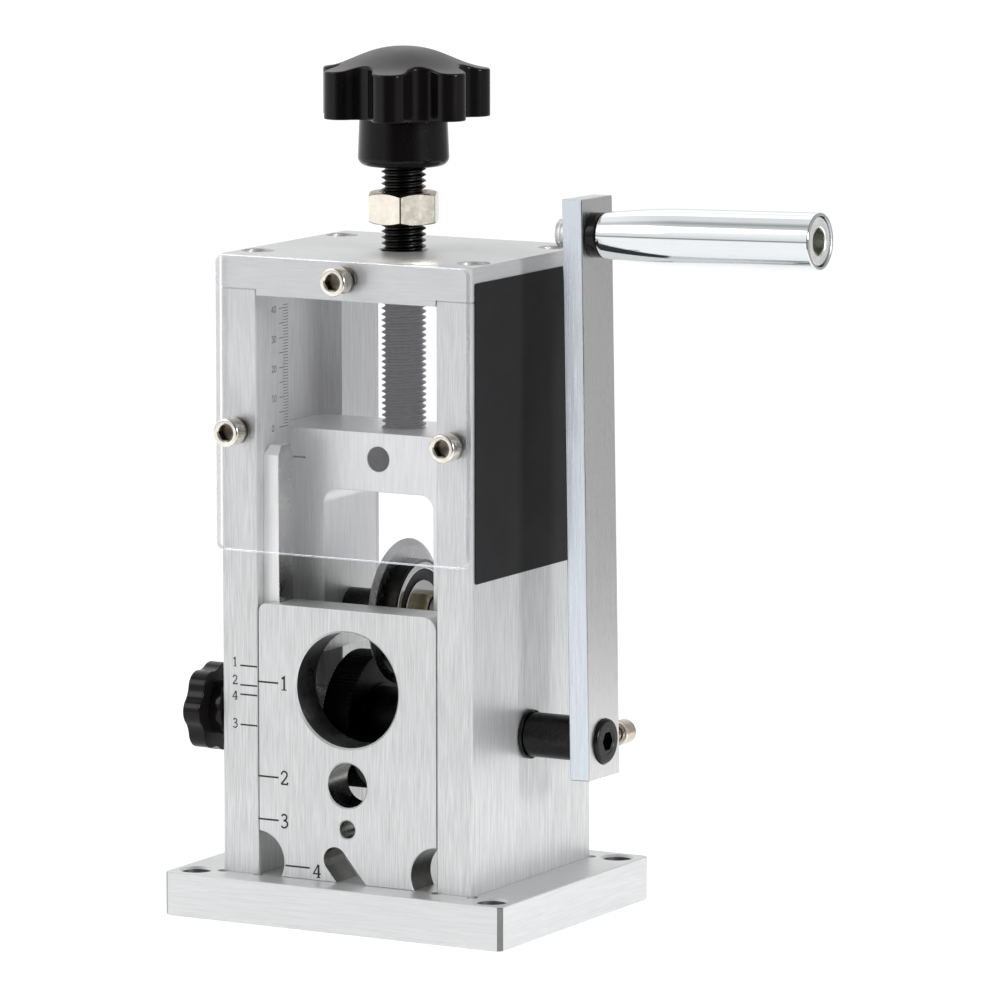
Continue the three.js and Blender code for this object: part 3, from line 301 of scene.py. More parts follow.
ALUMINIUM = (0.67, 0.675, 0.68)
FINISHES = {
    brushed_metal: {
        "column_aluminium": (ALUMINIUM, "ZZX"),
        "top_aluminium": (ALUMINIUM, "YXX", 0.08),
        "guide_aluminium": (ALUMINIUM, "ZZX", 0.18),
        "milled_aluminium": ((0.71, 0.715, 0.72), "YXX", 0.07),
        # Clamp strip: colour raised to near white, painted light where the column shades it
        "strip_aluminium": ((0.96, 0.965, 0.97), "ZZX", 0.12),
        # Carrier: colour raised above the other aluminium, painted light where the frame shades it
        "carrier_aluminium": ((0.86, 0.865, 0.87), "ZZX", 0.12),
        "satin_aluminium": ((0.69, 0.735, 0.79), "ZZX", 0.03, 0.3, 0.0005, 0.03, 1.0),
        # The crank arm's +X side: a neutral grey copy of its satin finish, painted to match how that side is
        # lit
        "arm_side": ((0.69, 0.695, 0.69), "ZZX", 0.03, 0.3, 0.0005, 0.03, 1.0),
    },
    smooth_metal: {
        # Dark finish for the base's corner chamfers: a painted dark reflection
        "chamfer_aluminium": ((0.2, 0.2, 0.2), 0.12, 0.08),
        # Bore walls: a smooth bored finish, darkened as painted shade inside the holes; less dark in the
        # guide's small holes
        "bore_aluminium": ((0.4, 0.4, 0.42), 0.35, 0.3, 200.0),
        "bore_light": ((0.33, 0.33, 0.31), 0.25, 0.1, 200.0),
        # Notch and foot reliefs of the guide plate: painted shade in the recesses
        "notch_dark": ((0.18, 0.18, 0.17), 0.22, 0.08, 200.0),
        # The clamp strip's +X side, in the gap by the column: painted shade
        "strip_side": ((0.46, 0.46, 0.45), 0.3, 0.06, 200.0),
        "blade_steel": ((0.45, 0.45, 0.45), 0.3),
        "bearing_steel": ((0.62, 0.62, 0.62), 0.16, 0.02),
        # Dark steel of the right axle sleeve: painted shade, so the sleeve merges with the shaded wall
        "dark_steel": ((0.32, 0.3, 0.27), 0.5, 0.1),
        "steel": ((0.5, 0.5, 0.5), 0.25),
        "nickel": ((0.8, 0.76, 0.69), 0.22, 0.1),
        "nut_nickel": ((0.88, 0.82, 0.72), 0.2, 0.03),
        # Top, bottom and chamfers of the lock nut: painted dark reflection and shade
        "nut_dark": ((0.28, 0.23, 0.17), 0.3, 0.2),
        "screw_brown": ((0.62, 0.55, 0.46), 0.25, 0.15),
        # Handle bolt head: colour raised to near white, painted light inside the sleeve's shaded recess
        "bolt_bright": ((0.95, 0.95, 0.94), 0.45, 0.05),
        # Darker finishes for the insides of hex sockets: painted shade in the recess, lighter in the handle
        # bolt's socket
        "socket_light": ((0.42, 0.43, 0.38), 0.4, 0.1),
        "socket_dark": ((0.2, 0.17, 0.14), 0.35, 0.2),
        "spacer_dark": ((0.35, 0.33, 0.31), 0.3, 0.1),
        "chrome": ((0.72, 0.745, 0.76), 0.07, 0.01, 120.0),
        "bronze": ((0.3, 0.27, 0.18), 0.35, 0.12),
    },
    black_finish: {
        "black_steel": ((0.02, 0.019, 0.018), 0.4, 1.0),
        "thread_black": ((0.03, 0.029, 0.028), 0.32, 1.0),
        "shaft_black": ((0.03, 0.03, 0.03), 0.3, 1.0),
        "wheel_black": ((0.012, 0.011, 0.011), 0.45, 1.0),
        "seal_rubber": ((0.01, 0.01, 0.01), 0.5, 0.0),
        "black_plastic": ((0.006, 0.005, 0.005), 0.15, 0.0, 0.15, 1500.0, 0.03, 0.2),
        # The knob's dome: a rougher black, whose lighter colour is a painted reflection
        "dome_plastic": ((0.026, 0.024, 0.023), 0.4, 0.0, 0.15, 1500.0, 0.05),
        "label_black": ((0.016, 0.016, 0.017), 0.5, 0.0, 0.1, 1200.0, 0.08, 0.12),
        "ink": ((0.022, 0.022, 0.024), 0.6, 0.0, 0.3, 2500.0, 0.05),
    },
    clear_sheet: {
        "clear_acrylic": ((0.9, 0.9, 0.95), 0.06, 0.05),
        "acrylic_edge": ((0.9, 0.92, 0.97), 0.5, 0.25),
    },
}
LOOKS = {name: make(name, *values) for make, looks in FINISHES.items() for name, values in looks.items()}


# Shapes in millimetres

def soften(points, radius, closed=True, steps=3):
    """Rounds each sharp corner of a polyline of (x, y) points."""
    least_turn = math.radians(15)
    points = [Vector(p) for p in points]
    count = len(points)
    made = []
    for i, corner in enumerate(points):
        if not closed and i in (0, count - 1):
            made.append(corner)
            continue
        back = points[i - 1] - corner
        ahead = points[(i + 1) % count] - corner
        if back.length < 1e-6 or ahead.length < 1e-6:
            continue
        if math.pi - back.angle(ahead) < least_turn:
            made.append(corner)
            continue
        reach = min(radius, 0.42 * back.length, 0.42 * ahead.length)
        start = corner + back.normalized() * reach
        end = corner + ahead.normalized() * reach
        for step in range(steps + 1):
            s = step / steps
            made.append((1 - s) ** 2 * start + 2 * s * (1 - s) * corner + s * s * end)
    return made


def arc(cx, cy, radius, start, end, steps=16):
    """Points of an arc; the angles are in degrees."""
    turn = math.radians(end - start)
    first = math.radians(start)
    angles = [first + turn * i / steps for i in range(steps + 1)]
    return [(cx + radius * math.cos(a), cy + radius * math.sin(a)) for a in angles]


def circle(cx, cy, radius, sides=FINE):
    return arc(cx, cy, radius, 0, 360, sides)[:-1]


def box_outline(x0, x1, y0, y1, cut=0.0):
    if not cut:
        return [(x0, y0), (x1, y0), (x1, y1), (x0, y1)]
    return [
        (x0 + cut, y0), (x1 - cut, y0), (x1, y0 + cut), (x1, y1 - cut),
        (x1 - cut, y1), (x0 + cut, y1), (x0, y1 - cut), (x0, y0 + cut),
    ]


def reworked(mesh, work):
    """Does some work on a mesh and turns its faces out."""
    made = bmesh.new()
    made.from_mesh(mesh)
    work(made)
    bmesh.ops.recalc_face_normals(made, faces=made.faces)
    made.to_mesh(mesh)
    made.free()


def mesh_of(verts, faces, where=None):
    mesh = bpy.data.meshes.new("shape")
    mesh.from_pydata([tuple(v) for v in verts], [], faces)
    if where is not None:
        mesh.transform(where)
    return mesh


def body(verts, faces, where=None):
    """A temporary object in millimetres, with its faces out."""
    def clean(made):
        bmesh.ops.remove_doubles(made, verts=made.verts, dist=1e-5)
        bmesh.ops.dissolve_degenerate(made, edges=made.edges, dist=1e-5)

    mesh = mesh_of(verts, faces, where)
    reworked(mesh, clean)
    return linked("shape", mesh)


def between(rows):
    """Four-cornered faces between each ring of vertex numbers and the next."""
    faces = []
    for low, high in zip(rows, rows[1:]):
        for i in range(len(low)):
            j = (i + 1) % len(low)
            faces.append([low[i], low[j], high[j], high[i]])
    return faces


def turned(profile, sides=MEDIUM, where=None):
    """A profile of (radius, height) points turned round Z; a profile off the axis is a closed ring."""
    profile = [tuple(p) for p in profile]
    verts = []
    rows = []
    for radius, height in profile:
        count = 1 if radius < 1e-6 else sides
        rows.append([len(verts) + i % count for i in range(sides)])
        for i in range(count):
            angle = FULL_TURN * i / sides
            verts.append((radius * math.cos(angle), radius * math.sin(angle), height))
    if profile[0][0] > 1e-6:
        rows.append(rows[0])
    faces = [list(dict.fromkeys(face)) for face in between(rows)]
    return body(verts, [face for face in faces if len(face) > 2], where)


def tube(inner, outer, z0, z1, edge=0.2, sides=MEDIUM, where=None):
    return turned(soften(box_outline(inner, outer, z0, z1), edge), sides, where)


def rod(radius, z0, z1, edge=0.3, sides=MEDIUM, where=None):
    profile = soften([(0, z0), (radius, z0), (radius, z1), (0, z1)], edge, closed=False)
    return turned(profile, sides, where)


def drill(radius, z0, z1, chamfer=0.5, sides=FINE, where=None):
    """A hole from z0 to z1 with a countersunk edge at both ends."""
    over = 1.0
    mouth = radius + chamfer + over
    profile = [
        (0, z0 - over), (mouth, z0 - over), (radius, z0 + chamfer),
        (radius, z1 - chamfer), (mouth, z1 + over), (0, z1 + over),
    ]
    return turned(profile, sides, where)


def outline_area(points):
    return sum(a[0] * b[1] - b[0] * a[1] for a, b in zip(points, points[1:] + points[:1])) / 2


def inset(points, distance):
    """The outline moved to its left by a distance."""
    count = len(points)
    made = []
    for i, point in enumerate(points):
        before = (Vector(point) - Vector(points[i - 1])).normalized()
        after = (Vector(points[(i + 1) % count]) - Vector(point)).normalized()
        across = Vector((-before.y - after.y, before.x + after.x))
        if across.length < 1e-6:
            across = Vector((-before.y, before.x))
        across.normalize()
        share = max(0.35, across.dot(Vector((-before.y, before.x))))
        made.append(Vector(point) + across * (distance / share))
    return made


def plate(outline, z0, z1, holes=(), edge=EDGE, steps=3, where=None):
    """A plate of an outline with holes, its edges rounded at both faces."""
    loops = [list(outline) if outline_area(list(outline)) > 0 else list(outline)[::-1]]
    loops += [list(h) if outline_area(list(h)) < 0 else list(h)[::-1] for h in holes]
    levels = []
    for step in range(steps + 1):
        angle = math.pi / 2 * step / steps
        levels.append((edge * (1 - math.sin(angle)), z0 + edge * (1 - math.cos(angle))))
    levels += [(shrink, z0 + z1 - z) for shrink, z in levels[::-1]]
    verts = []
    faces = []
    caps = {0: [], len(levels) - 1: []}
    for loop in loops:
        rows = []
        for number, (shrink, z) in enumerate(levels):
            ring = [Vector(p) for p in loop] if shrink < 1e-9 else inset(loop, shrink)
            rows.append(range(len(verts), len(verts) + len(loop)))
            verts += [(p.x, p.y, z) for p in ring]
            if number in caps:
                caps[number].append((rows[-1], ring))
        faces += between(rows)
    for parts in caps.values():
        indices = [i for row, _ in parts for i in row]
        for triangle in tessellate_polygon([[(p.x, p.y, 0) for p in ring] for _, ring in parts]):
            faces.append([indices[k] for k in triangle])
    return body(verts, faces, where)


def prism(outline, z0, z1, where=None):
    """A plate with sharp edges."""
    return plate(outline, z0, z1, edge=0, steps=1, where=where)


def front_plate(outline, box, edge=EDGE):
    """A plate of an outline of (x, z) points, as thick as a box is deep."""
    low, high = box
    return plate(outline, -high.y, -low.y, edge=edge, where=TO_FRONT)


def hexagon(across_flats, turn=0.0):
    radius = across_flats / math.sqrt(3)
    angles = [turn + math.pi * i / 3 for i in range(6)]
    return [(radius * math.cos(a), radius * math.sin(a)) for a in angles]


def hex_key(across_flats, z0, z1, where=None, turn=0.0):
    return prism(hexagon(across_flats, turn), z0, z1, where)


def applied(obj, keep_layers=False):
    """Turns an object's modifiers into its mesh."""
    graph = bpy.context.evaluated_depsgraph_get()
    options = {"preserve_all_data_layers": True, "depsgraph": graph} if keep_layers else {}
    mesh = bpy.data.meshes.new_from_object(obj.evaluated_get(graph), **options)
    obj.modifiers.clear()
    obj.data = mesh
    return mesh


def combined(obj, tools, operation="DIFFERENCE"):
    """Cuts tools from an object, or joins them to it or keeps what they share."""
    for tool in tools:
        change = obj.modifiers.new("combine", "BOOLEAN")
        change.operation = operation
        change.solver = "EXACT"
        change.object = tool
    applied(obj)
    for tool in tools:
        bpy.data.objects.remove(tool)
    return obj


def gathered(shapes):
    """Several closed shapes as one object."""
    made = bmesh.new()
    for shape in shapes:
        made.from_mesh(shape.data)
    mesh = bpy.data.meshes.new("shape")
    made.to_mesh(mesh)
    made.free()
    for shape in shapes[1:]:
        bpy.data.objects.remove(shape)
    shapes[0].data = mesh
    return shapes[0]


RECORD_SLOTS = {m["slot"] for m in frame["record"]["materials"]}


def finish(obj, name, look, ride, node=None, slot=None, where=None, sharp=30):
    """Scales a shape to metres and gives it its name and finish, and hangs it on the empty of the body that
    it rides with.
    """
    mesh = obj.data
    if where is not None:
        mesh.transform(where)
    mesh.transform(Matrix.Scale(MM, 4))
    mesh.materials.clear()
    mesh.materials.append(LOOKS[look])
    mesh.shade_smooth()
    mesh.set_sharp_from_angle(angle=math.radians(sharp))
    mesh.update()
    change = obj.modifiers.new("flat_faces", "WEIGHTED_NORMAL")
    change.keep_sharp = True
    mesh = applied(obj, keep_layers=True)
    obj.name = mesh.name = name
    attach(obj, ride)
    if node:
        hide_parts(node)
    if slot or look in RECORD_SLOTS:
        slot or look
    return obj


def dress(piece, look, test):
    """Gives a look to the faces that pass a test of centre, in millimetres, and normal."""
    piece.data.materials.append(LOOKS[look])
    for face in piece.data.polygons:
        if test(face.center / MM, face.normal):
            face.material_index = len(piece.data.materials) - 1


# Directions: each matrix turns local Z, a shape's own axis, to the direction that it names
TO_X = Matrix.Rotation(math.pi / 2, 4, "Y")
TO_LEFT = Matrix.Rotation(-math.pi / 2, 4, "Y")
TO_FRONT = Matrix.Rotation(math.pi / 2, 4, "X")
TO_BACK = Matrix.Rotation(-math.pi / 2, 4, "X")
TO_DOWN = Matrix.Rotation(math.pi, 4, "X")
UPWARD = Matrix.Identity(4)
# Turns an outline of (y, z) points and its thickness to a plate that looks along X
SIDEWAYS = Matrix(((0, 0, 1, 0), (1, 0, 0, 0), (0, 1, 0, 0), (0, 0, 0, 1)))


def at(x, y, z):
    return Matrix.Translation((x, y, z))


def span(node, where=UPWARD):
    """A node's lowest and highest corners in millimetres, along the axes of a matrix."""
    back = where.inverted()
    points = [back @ (v.co / MM) for v in NODES[node].data.vertices]
    return tuple(Vector([pick(p[i] for p in points) for i in range(3)]) for pick in (min, max))


def middle(node):
    low, high = span(node)
    return (low + high) / 2


def over(box, z):
    """The place at a height on a box's own upright axis."""
    low, high = box
    return at((low.x + high.x) / 2, (low.y + high.y) / 2, z)


# Places taken from the frame
BASE = span("base_plate")
TOP = span("top_plate")
SIDE_RIGHT = span("side_plate_right")
SHAFT = middle("shaft_ring")
BLADE = middle("blade")
FRONT = SIDE_RIGHT[0].y
INNER = SIDE_RIGHT[0].x
# The crank leans about the shaft, and the arm is tilted on it
JOINTS = {joint["name"]: joint for joint in frame["record"]["behaviour"]["joints"]}
SPIN = JOINTS["handle_spin"]["axis"]
TILT = math.atan2(math.hypot(SPIN[1], SPIN[2]), SPIN[0])
LEAN = math.atan2(-SPIN[1], SPIN[2])
SHAFT_AT = at(0, SHAFT.y, SHAFT.z)
CRANK_AT = SHAFT_AT @ Matrix.Rotation(LEAN, 4, "X")
ARM_MIDDLE = middle("crank_screw").x
ARM_AT = CRANK_AT @ at(ARM_MIDDLE, 0, 0) @ Matrix.Rotation(-TILT, 4, "Y") @ at(-ARM_MIDDLE, 0, 0)
BLADE_AT = at(0, BLADE.y, BLADE.z)
SCREW_AT = at(0, middle("lock_nut").y, 0)

# Radii of the bores that several pieces share
SHAFT_BORE = 7.8
AXLE_BORE = 5.3
SCREW_HOLE = 3.3


def screw(node, name, ride, outward, head, shank_radius, key, look="nickel", pitch=0.0, bare=0.0,
          socket="socket_dark"):
    """A socket cap screw; outward turns Z to the side that its head looks to."""
    head_radius, head_height = head
    key_flats, key_depth = key
    key_radius = key_flats / math.sqrt(3)
    cone_radius = key_radius + 0.35
    root_radius = shank_radius * 0.86
    low, high = span(node, outward)
    foot = low.z - high.z
    neck = 0.5 - head_height
    if pitch:
        shank = threaded_rod(shank_radius, pitch, foot, foot + bare, root_radius)
        shapes = [shank, rod(root_radius, foot + bare - 1, neck, 0)]
    else:
        shapes = [rod(shank_radius, foot, neck, 0.6)]
    cap = turned([
        (0, -head_height), (head_radius - 0.3, -head_height), (head_radius, -head_height + 0.3),
        *arc(head_radius - 0.7, -0.7, 0.7, 0, 90, 5), (key_radius + 0.5, 0), (0, 0),
    ], FINE)
    countersink = turned([(0, -cone_radius), (cone_radius + 1, 1), (0, 1)])
    floor = 0.05 - key_depth
    tip = turned([(0, -key_depth - key_flats * 0.25), (key_flats * 0.47, floor), (0, floor)])
    sink = combined(countersink, [rod(cone_radius + 2, -0.35, 2, 0)], "INTERSECT")
    shapes.append(combined(cap, [hex_key(key_flats, -key_depth, 1), sink, tip]))
    where = outward @ over((low, high), high.z)
    back = where.inverted()

    # Faces inside the hex socket take the socket finish: painted shade in the recess
    def in_socket(centre, normal):
        spot = back @ centre
        return -key_depth - key_flats < spot.z < -0.3 and math.hypot(spot.x, spot.y) < key_radius + 0.1

    dress(finish(gathered(shapes), name, look, ride, node, where=where), socket, in_socket)


def spring_washer(node, name, ride, outward, inner, outer):
    """A split washer whose ends stand a little apart."""
    split = math.radians(14)
    rise = 0.175
    start = 2.4
    low, high = span(node, outward)
    section = soften(box_outline(inner, outer, 0, high.z - low.z - rise), 0.15, steps=2)
    count = len(section)
    verts = []
    for step in range(MEDIUM + 1):
        share = step / MEDIUM
        angle = start + split / 2 + (FULL_TURN - split) * share
        verts += [(r * math.cos(angle), r * math.sin(angle), z + rise * share) for r, z in section]
    rows = [range(first, first + count) for first in range(0, len(verts), count)]
    faces = [*between(rows), list(rows[0])[::-1], list(rows[-1])]
    finish(body(verts, faces), name, "nickel", ride, node, where=outward @ over((low, high), low.z))


def threaded_rod(radius, pitch, z0, z1, root, sides=48):
    """A one-start thread with flat crests and roots, cut flat at both ends."""
    # Share of a pitch, and radius, at the corners of one turn's section
    section = [(0.0, root), (0.12, root), (0.44, radius), (0.56, radius), (0.88, root)]
    corners = len(section)
    total = (math.ceil((z1 - z0) / pitch) + 2) * corners
    verts = []
    for row in range(total + 1):
        share, r = section[row % corners]
        rise = (row // corners - 1 + share) * pitch
        for i in range(sides):
            angle = FULL_TURN * i / sides
            z = z0 + rise + pitch * i / sides
            verts.append((r * math.cos(angle), r * math.sin(angle), min(max(z, z0), z1)))
    faces = []
    for row in range(total):
        for a in range(row * sides, row * sides + sides - 1):
            faces.append([a, a + 1, a + 1 + sides, a + sides])
        ahead = row + corners
        if ahead < total:
            faces.append([(row + 1) * sides - 1, ahead * sides, (ahead + 1) * sides, (row + 2) * sides - 1])
    shape = body(verts, faces)

    def close_ends(made):
        bmesh.ops.holes_fill(made, edges=[e for e in made.edges if e.is_boundary])

    reworked(shape.data, close_ends)
    return shape


def ring(node, name, look, ride, bore, frame_at, edge, slot=None):
    """A plain ring in the place of a node, with its axis along X of a frame of its own."""
    low, high = span(node, frame_at)
    finish(tube(bore, high.z, low.x, high.x, edge, FINE), name, look, ride, node, slot, frame_at @ TO_X)


def make_base():
    low, high = BASE
    hole_inset = 8
    hole_radius = 5
    corner_cut = 1.5
    pocket_gap = 0.2
    pocket_floor = SIDE_RIGHT[0].z
    relief_radius = 2
    reach = SIDE_RIGHT[1].y + pocket_gap
    tools = []
    for x in (-1, 1):
        for y in (-1, 1):
            place = at(x * (high.x - hole_inset), y * (high.y - hole_inset), 0)
            tools.append(drill(hole_radius, low.z, high.z, 0.8, where=place))
        walls = (x * (INNER - pocket_gap), x * (SIDE_RIGHT[1].x + pocket_gap))
        tools.append(prism(box_outline(min(walls), max(walls), -reach, reach), pocket_floor, high.z + 1))
        for wall in walls:
            for y in (-1, 1):
                place = at(wall, y * (reach - pocket_gap), 0)
                tools.append(rod(relief_radius, pocket_floor - 0.01, high.z + 1, 0, SMALL, place))
    for number in range(1, 5):
        centre = middle(f"base_screw_{number}")
        for radius, top in ((5.5, 7.3), (SCREW_HOLE, high.z)):
            tools.append(rod(radius, low.z - 1, top, 0, SMALL, at(centre.x, centre.y, 0)))
    blank = plate(box_outline(low.x, high.x, low.y, high.y, corner_cut), low.z, high.z, edge=0.5)
    piece = finish(combined(blank, tools), "base_plate_milled", "milled_aluminium", "frame", "base_plate",
                   "brushed_aluminium")

    def on_corner(centre, normal):
        turned_away = abs(normal.x) > 0.5 and abs(normal.y) > 0.5
        return turned_away and abs(centre.x) > high.x - corner_cut and abs(centre.y) > high.y - corner_cut

    def in_hole(centre, normal):
        off = math.hypot(abs(centre.x) - high.x + hole_inset, abs(centre.y) - high.y + hole_inset)
        return abs(normal.z) < 0.3 and off < hole_radius + 0.05

    # The corner chamfers take a dark finish: a painted dark reflection
    dress(piece, "chamfer_aluminium", on_corner)
    # Walls of the bench holes take a darker finish: painted shade in the holes
    dress(piece, "bore_aluminium", in_hole)


def make_top_plate():
    low, high = TOP
    side_top = SIDE_RIGHT[1].z
    bore_radius = 5.5
    bore_floor = high.z - 6.8
    tongue_half = INNER - 0.2
    blank = plate(box_outline(low.x, high.x, low.y, high.y, EDGE), side_top, high.z, edge=EDGE)
    outline = box_outline(-tongue_half, tongue_half, low.y + 0.01, high.y - 0.01)
    blank = combined(blank, [prism(outline, low.z, side_top + 1)], "UNION")
    tools = [drill(8, low.z, high.z, 0.5, where=SCREW_AT)]
    counterbore = [
        (0, bore_floor), (bore_radius, bore_floor), (bore_radius, high.z - 0.3),
        (bore_radius + 1.3, high.z + 1), (0, high.z + 1),
    ]
    for number in range(1, 5):
        centre = middle(f"top_screw_{number}")
        place = at(centre.x, centre.y, 0)
        tools.append(rod(SCREW_HOLE, low.z - 1, high.z, 0, SMALL, place))
        tools.append(turned(counterbore, FINE, place))
    tools.append(rod(SCREW_HOLE, -14, 2, 0, SMALL, at(0, low.y, middle("shield_screw_3").z) @ TO_FRONT))
    finish(combined(blank, tools), "top_plate_milled", "top_aluminium", "frame", "top_plate",
           "brushed_aluminium")


def make_carrier():
    low, high = span("carrier")
    half = 21
    window_top = low.z + 55.5
    corner = 5
    outline = [
        (low.x, low.z), (-half, low.z), *arc(-half + corner, window_top - corner, corner, 180, 90),
        *arc(half - corner, window_top - corner, corner, 90, 0), (half, low.z), (high.x, low.z),
        (high.x, high.z - EDGE), (high.x - EDGE, high.z), (low.x + EDGE, high.z), (low.x, high.z - EDGE),
    ]
    grub_height = middle("carrier_grub_screw").z
    blank = front_plate(outline, (low, high))
    tools = [
        rod(AXLE_BORE, low.x - 1, high.x + 1, 0, where=BLADE_AT @ TO_X),
        drill(5.3, high.z - 16.3, high.z, 0.3, where=SCREW_AT),
        rod(4.3, -10, 2, 0, where=at(0, low.y, grub_height) @ TO_FRONT),
    ]
    # The carrier's raised colour is painted light behind the shield
    finish(combined(blank, tools), "carrier_milled", "carrier_aluminium", "carrier", "carrier",
           "brushed_aluminium")
    low, high = span("carrier_grub_screw", TO_FRONT)
    top = high.z
    radius = 4.0
    rise = 1.2
    rounded = [math.pi / 2 * i / 8 for i in range(1, 8)]
    profile = [(0, low.z), (radius, low.z), (radius, top - rise)]
    profile += [(radius * math.cos(a), top - rise + rise * math.sin(a)) for a in rounded]
    dimple = turned([(0, top - 0.9), (1.1, top - 0.5), (1.4, top + 1), (0, top + 1)], SMALL)
    finish(combined(turned([*profile, (0, top)]), [dimple]), "carrier_grub", "black_steel", "carrier",
           "carrier_grub_screw", where=TO_FRONT @ at(0, grub_height, 0))


def make_adjuster():
    low, high = span("adjusting_screw")
    carrier_top = span("carrier")[1].z
    knob_bottom = span("top_knob")[0].z
    shapes = [
        threaded_rod(7.5, 2.0, carrier_top + 0.02, knob_bottom, 6.25),
        rod(5, low.z, carrier_top + 0.5),
        rod(6, knob_bottom - 0.5, high.z),
    ]
    finish(gathered(shapes), "adjusting_screw_thread", "thread_black", "adjuster", "adjusting_screw",
           "black_steel", SCREW_AT, 40)


def hex_nut(flats, height, profile, bore, chamfer, corner_round=0.0):
    """A six-sided nut on z 0, cut to a turned profile, with a bore."""
    outline = hexagon(flats, math.pi / 6)
    if corner_round:
        outline = soften(outline, corner_round)
    nut = combined(prism(outline, 0, height), [turned(profile, FINE)], "INTERSECT")
    return combined(nut, [drill(bore, 0, height, chamfer)])


def make_lock_nut():
    low, high = span("lock_nut")
    height = high.z - low.z
    flats = 22.4
    turn = math.radians(24.3)
    corner = flats / math.sqrt(3)
    face = flats / 2 - 0.3
    rise = (corner - flats / 2 + 0.3) * math.tan(math.radians(28))
    profile = [(0, 0), (face, 0), (corner, rise), (corner + 0.01, height - rise), (face, height), (0, height)]
    piece = finish(hex_nut(flats, height, profile, 7.75, 0.7, 0.55), "lock_nut_hex", "nut_nickel", "lock_nut",
                   "lock_nut", "nickel", SCREW_AT @ at(0, 0, low.z) @ Matrix.Rotation(turn, 4, "Z"))
    # Faces that look up or down take a darker finish: painted reflection of the dark knob above, and painted
    # shade
    dress(piece, "nut_dark", lambda centre, normal: abs(normal.z) > 0.3)


KNOB_LOBES = 7
DOME_FULLNESS = 1.2
# Rings of a knob's dome, as shares of its outline
DOME_RINGS = (0.97, 0.93, 0.88, 0.82, 0.75, 0.68, 0.6, 0.52, 0.44, 0.36, 0.28, 0.2, 0.12, 0.05)


def lobed_radius(valley, peak, lobe):
    """The outline of a star knob by angle: round lobes, and round valleys tangent to them."""
    half_step = math.pi / KNOB_LOBES
    cosine = math.cos(half_step)
    lobe_out = peak - lobe
    apart = lobe_out ** 2 + valley ** 2 - 2 * lobe_out * valley * cosine
    arc_radius = (apart - lobe ** 2) / (2 * (lobe + lobe_out * cosine - valley))
    arc_out = valley + arc_radius
    share = lobe / (lobe + arc_radius)
    across = share * arc_out * math.sin(half_step)
    tangent = math.atan2(across, lobe_out + share * (arc_out * cosine - lobe_out))

    def radius(angle):
        off = abs(angle - 2 * half_step * round(angle / (2 * half_step)))
        if off < tangent:
            return lobe_out * math.cos(off) + math.sqrt(lobe ** 2 - (lobe_out * math.sin(off)) ** 2)
        off = half_step - off
        return arc_out * math.cos(off) - math.sqrt(arc_radius ** 2 - (arc_out * math.sin(off)) ** 2)

    return radius


def star_knob(valley, peak, lobe, height, dome, edge, hub_height, hub, bores):
    """A star knob: upright lobes under a bell that drops to their tips, on a turned hub, with bores."""
    count = KNOB_LOBES * 48
    radius_at = lobed_radius(valley, peak, lobe)
    angles = [FULL_TURN * i / count for i in range(count)]
    outline = [(radius_at(a) * math.cos(a), radius_at(a) * math.sin(a)) for a in angles]

    def top(point):
        share = min(1.0, math.hypot(*point) / peak)
        return height - dome * math.sin(math.pi / 2 * share ** DOME_FULLNESS) ** 2

    verts = []
    for step in range(4):
        angle = math.pi / 2 * step / 3
        rim = inset(outline, edge * 0.5 * (1 - math.sin(angle)))
        verts += [(p[0], p[1], edge * 0.5 * (1 - math.cos(angle))) for p in rim]
    for step in range(6):
        angle = math.pi / 2 * step / 5
        rim = inset(outline, edge * (1 - math.cos(angle)))
        verts += [(p[0], p[1], top(p) - edge * (1 - math.sin(angle))) for p in rim]
    inner = inset(outline, edge)
    for share in DOME_RINGS:
        verts += [(*p, top(p)) for p in [(x * share, y * share) for x, y in inner]]
    crown = len(verts)
    rows = [range(first, first + count) for first in range(0, crown, count)]
    verts += [(0, 0, height), (0, 0, 0)]
    faces = between(rows)
    for i in range(count):
        j = (i + 1) % count
        faces += [[rows[-1][i], rows[-1][j], crown], [j, i, crown + 1]]
    star = body(verts, faces)
    star.data.transform(at(0, 0, hub_height))
    return combined(combined(star, [turned(hub, FINE)], "UNION"), bores)


def make_top_knob():
    low, high = span("top_knob")
    hub_height = 16.5
    hub_radius = 15.3
    hub_round = 3.0
    turn = math.radians(-71.8)
    hub = [
        (0, 0), *arc(hub_radius - hub_round, hub_round, hub_round, -90, 0, 8),
        (hub_radius - 0.5, hub_height - 1.2), (hub_radius - 0.3, hub_height - 0.5),
        (hub_radius + 0.4, hub_height + 1), (0, hub_height + 1),
    ]
    bores = [rod(6.3, -1, 20, 0), turned([(0, -1), (8.6, -1), (7.6, 0.6), (0, 0.6)])]
    knob = star_knob(20.8, 29, 5.95, high.z - low.z - hub_height, 7.4, 0.8, hub_height, hub, bores)
    piece = finish(knob, "top_knob_moulded", "black_plastic", "adjuster", "top_knob",
                   where=SCREW_AT @ at(0, 0, low.z) @ Matrix.Rotation(turn, 4, "Z"), sharp=35)
    # Upward faces of the dome take a rougher, lighter black: a matte top, with a painted reflection in its
    # colour
    dress(piece, "dome_plastic", lambda centre, normal: centre.z > low.z + hub_height + 5 and normal.z > 0.75)


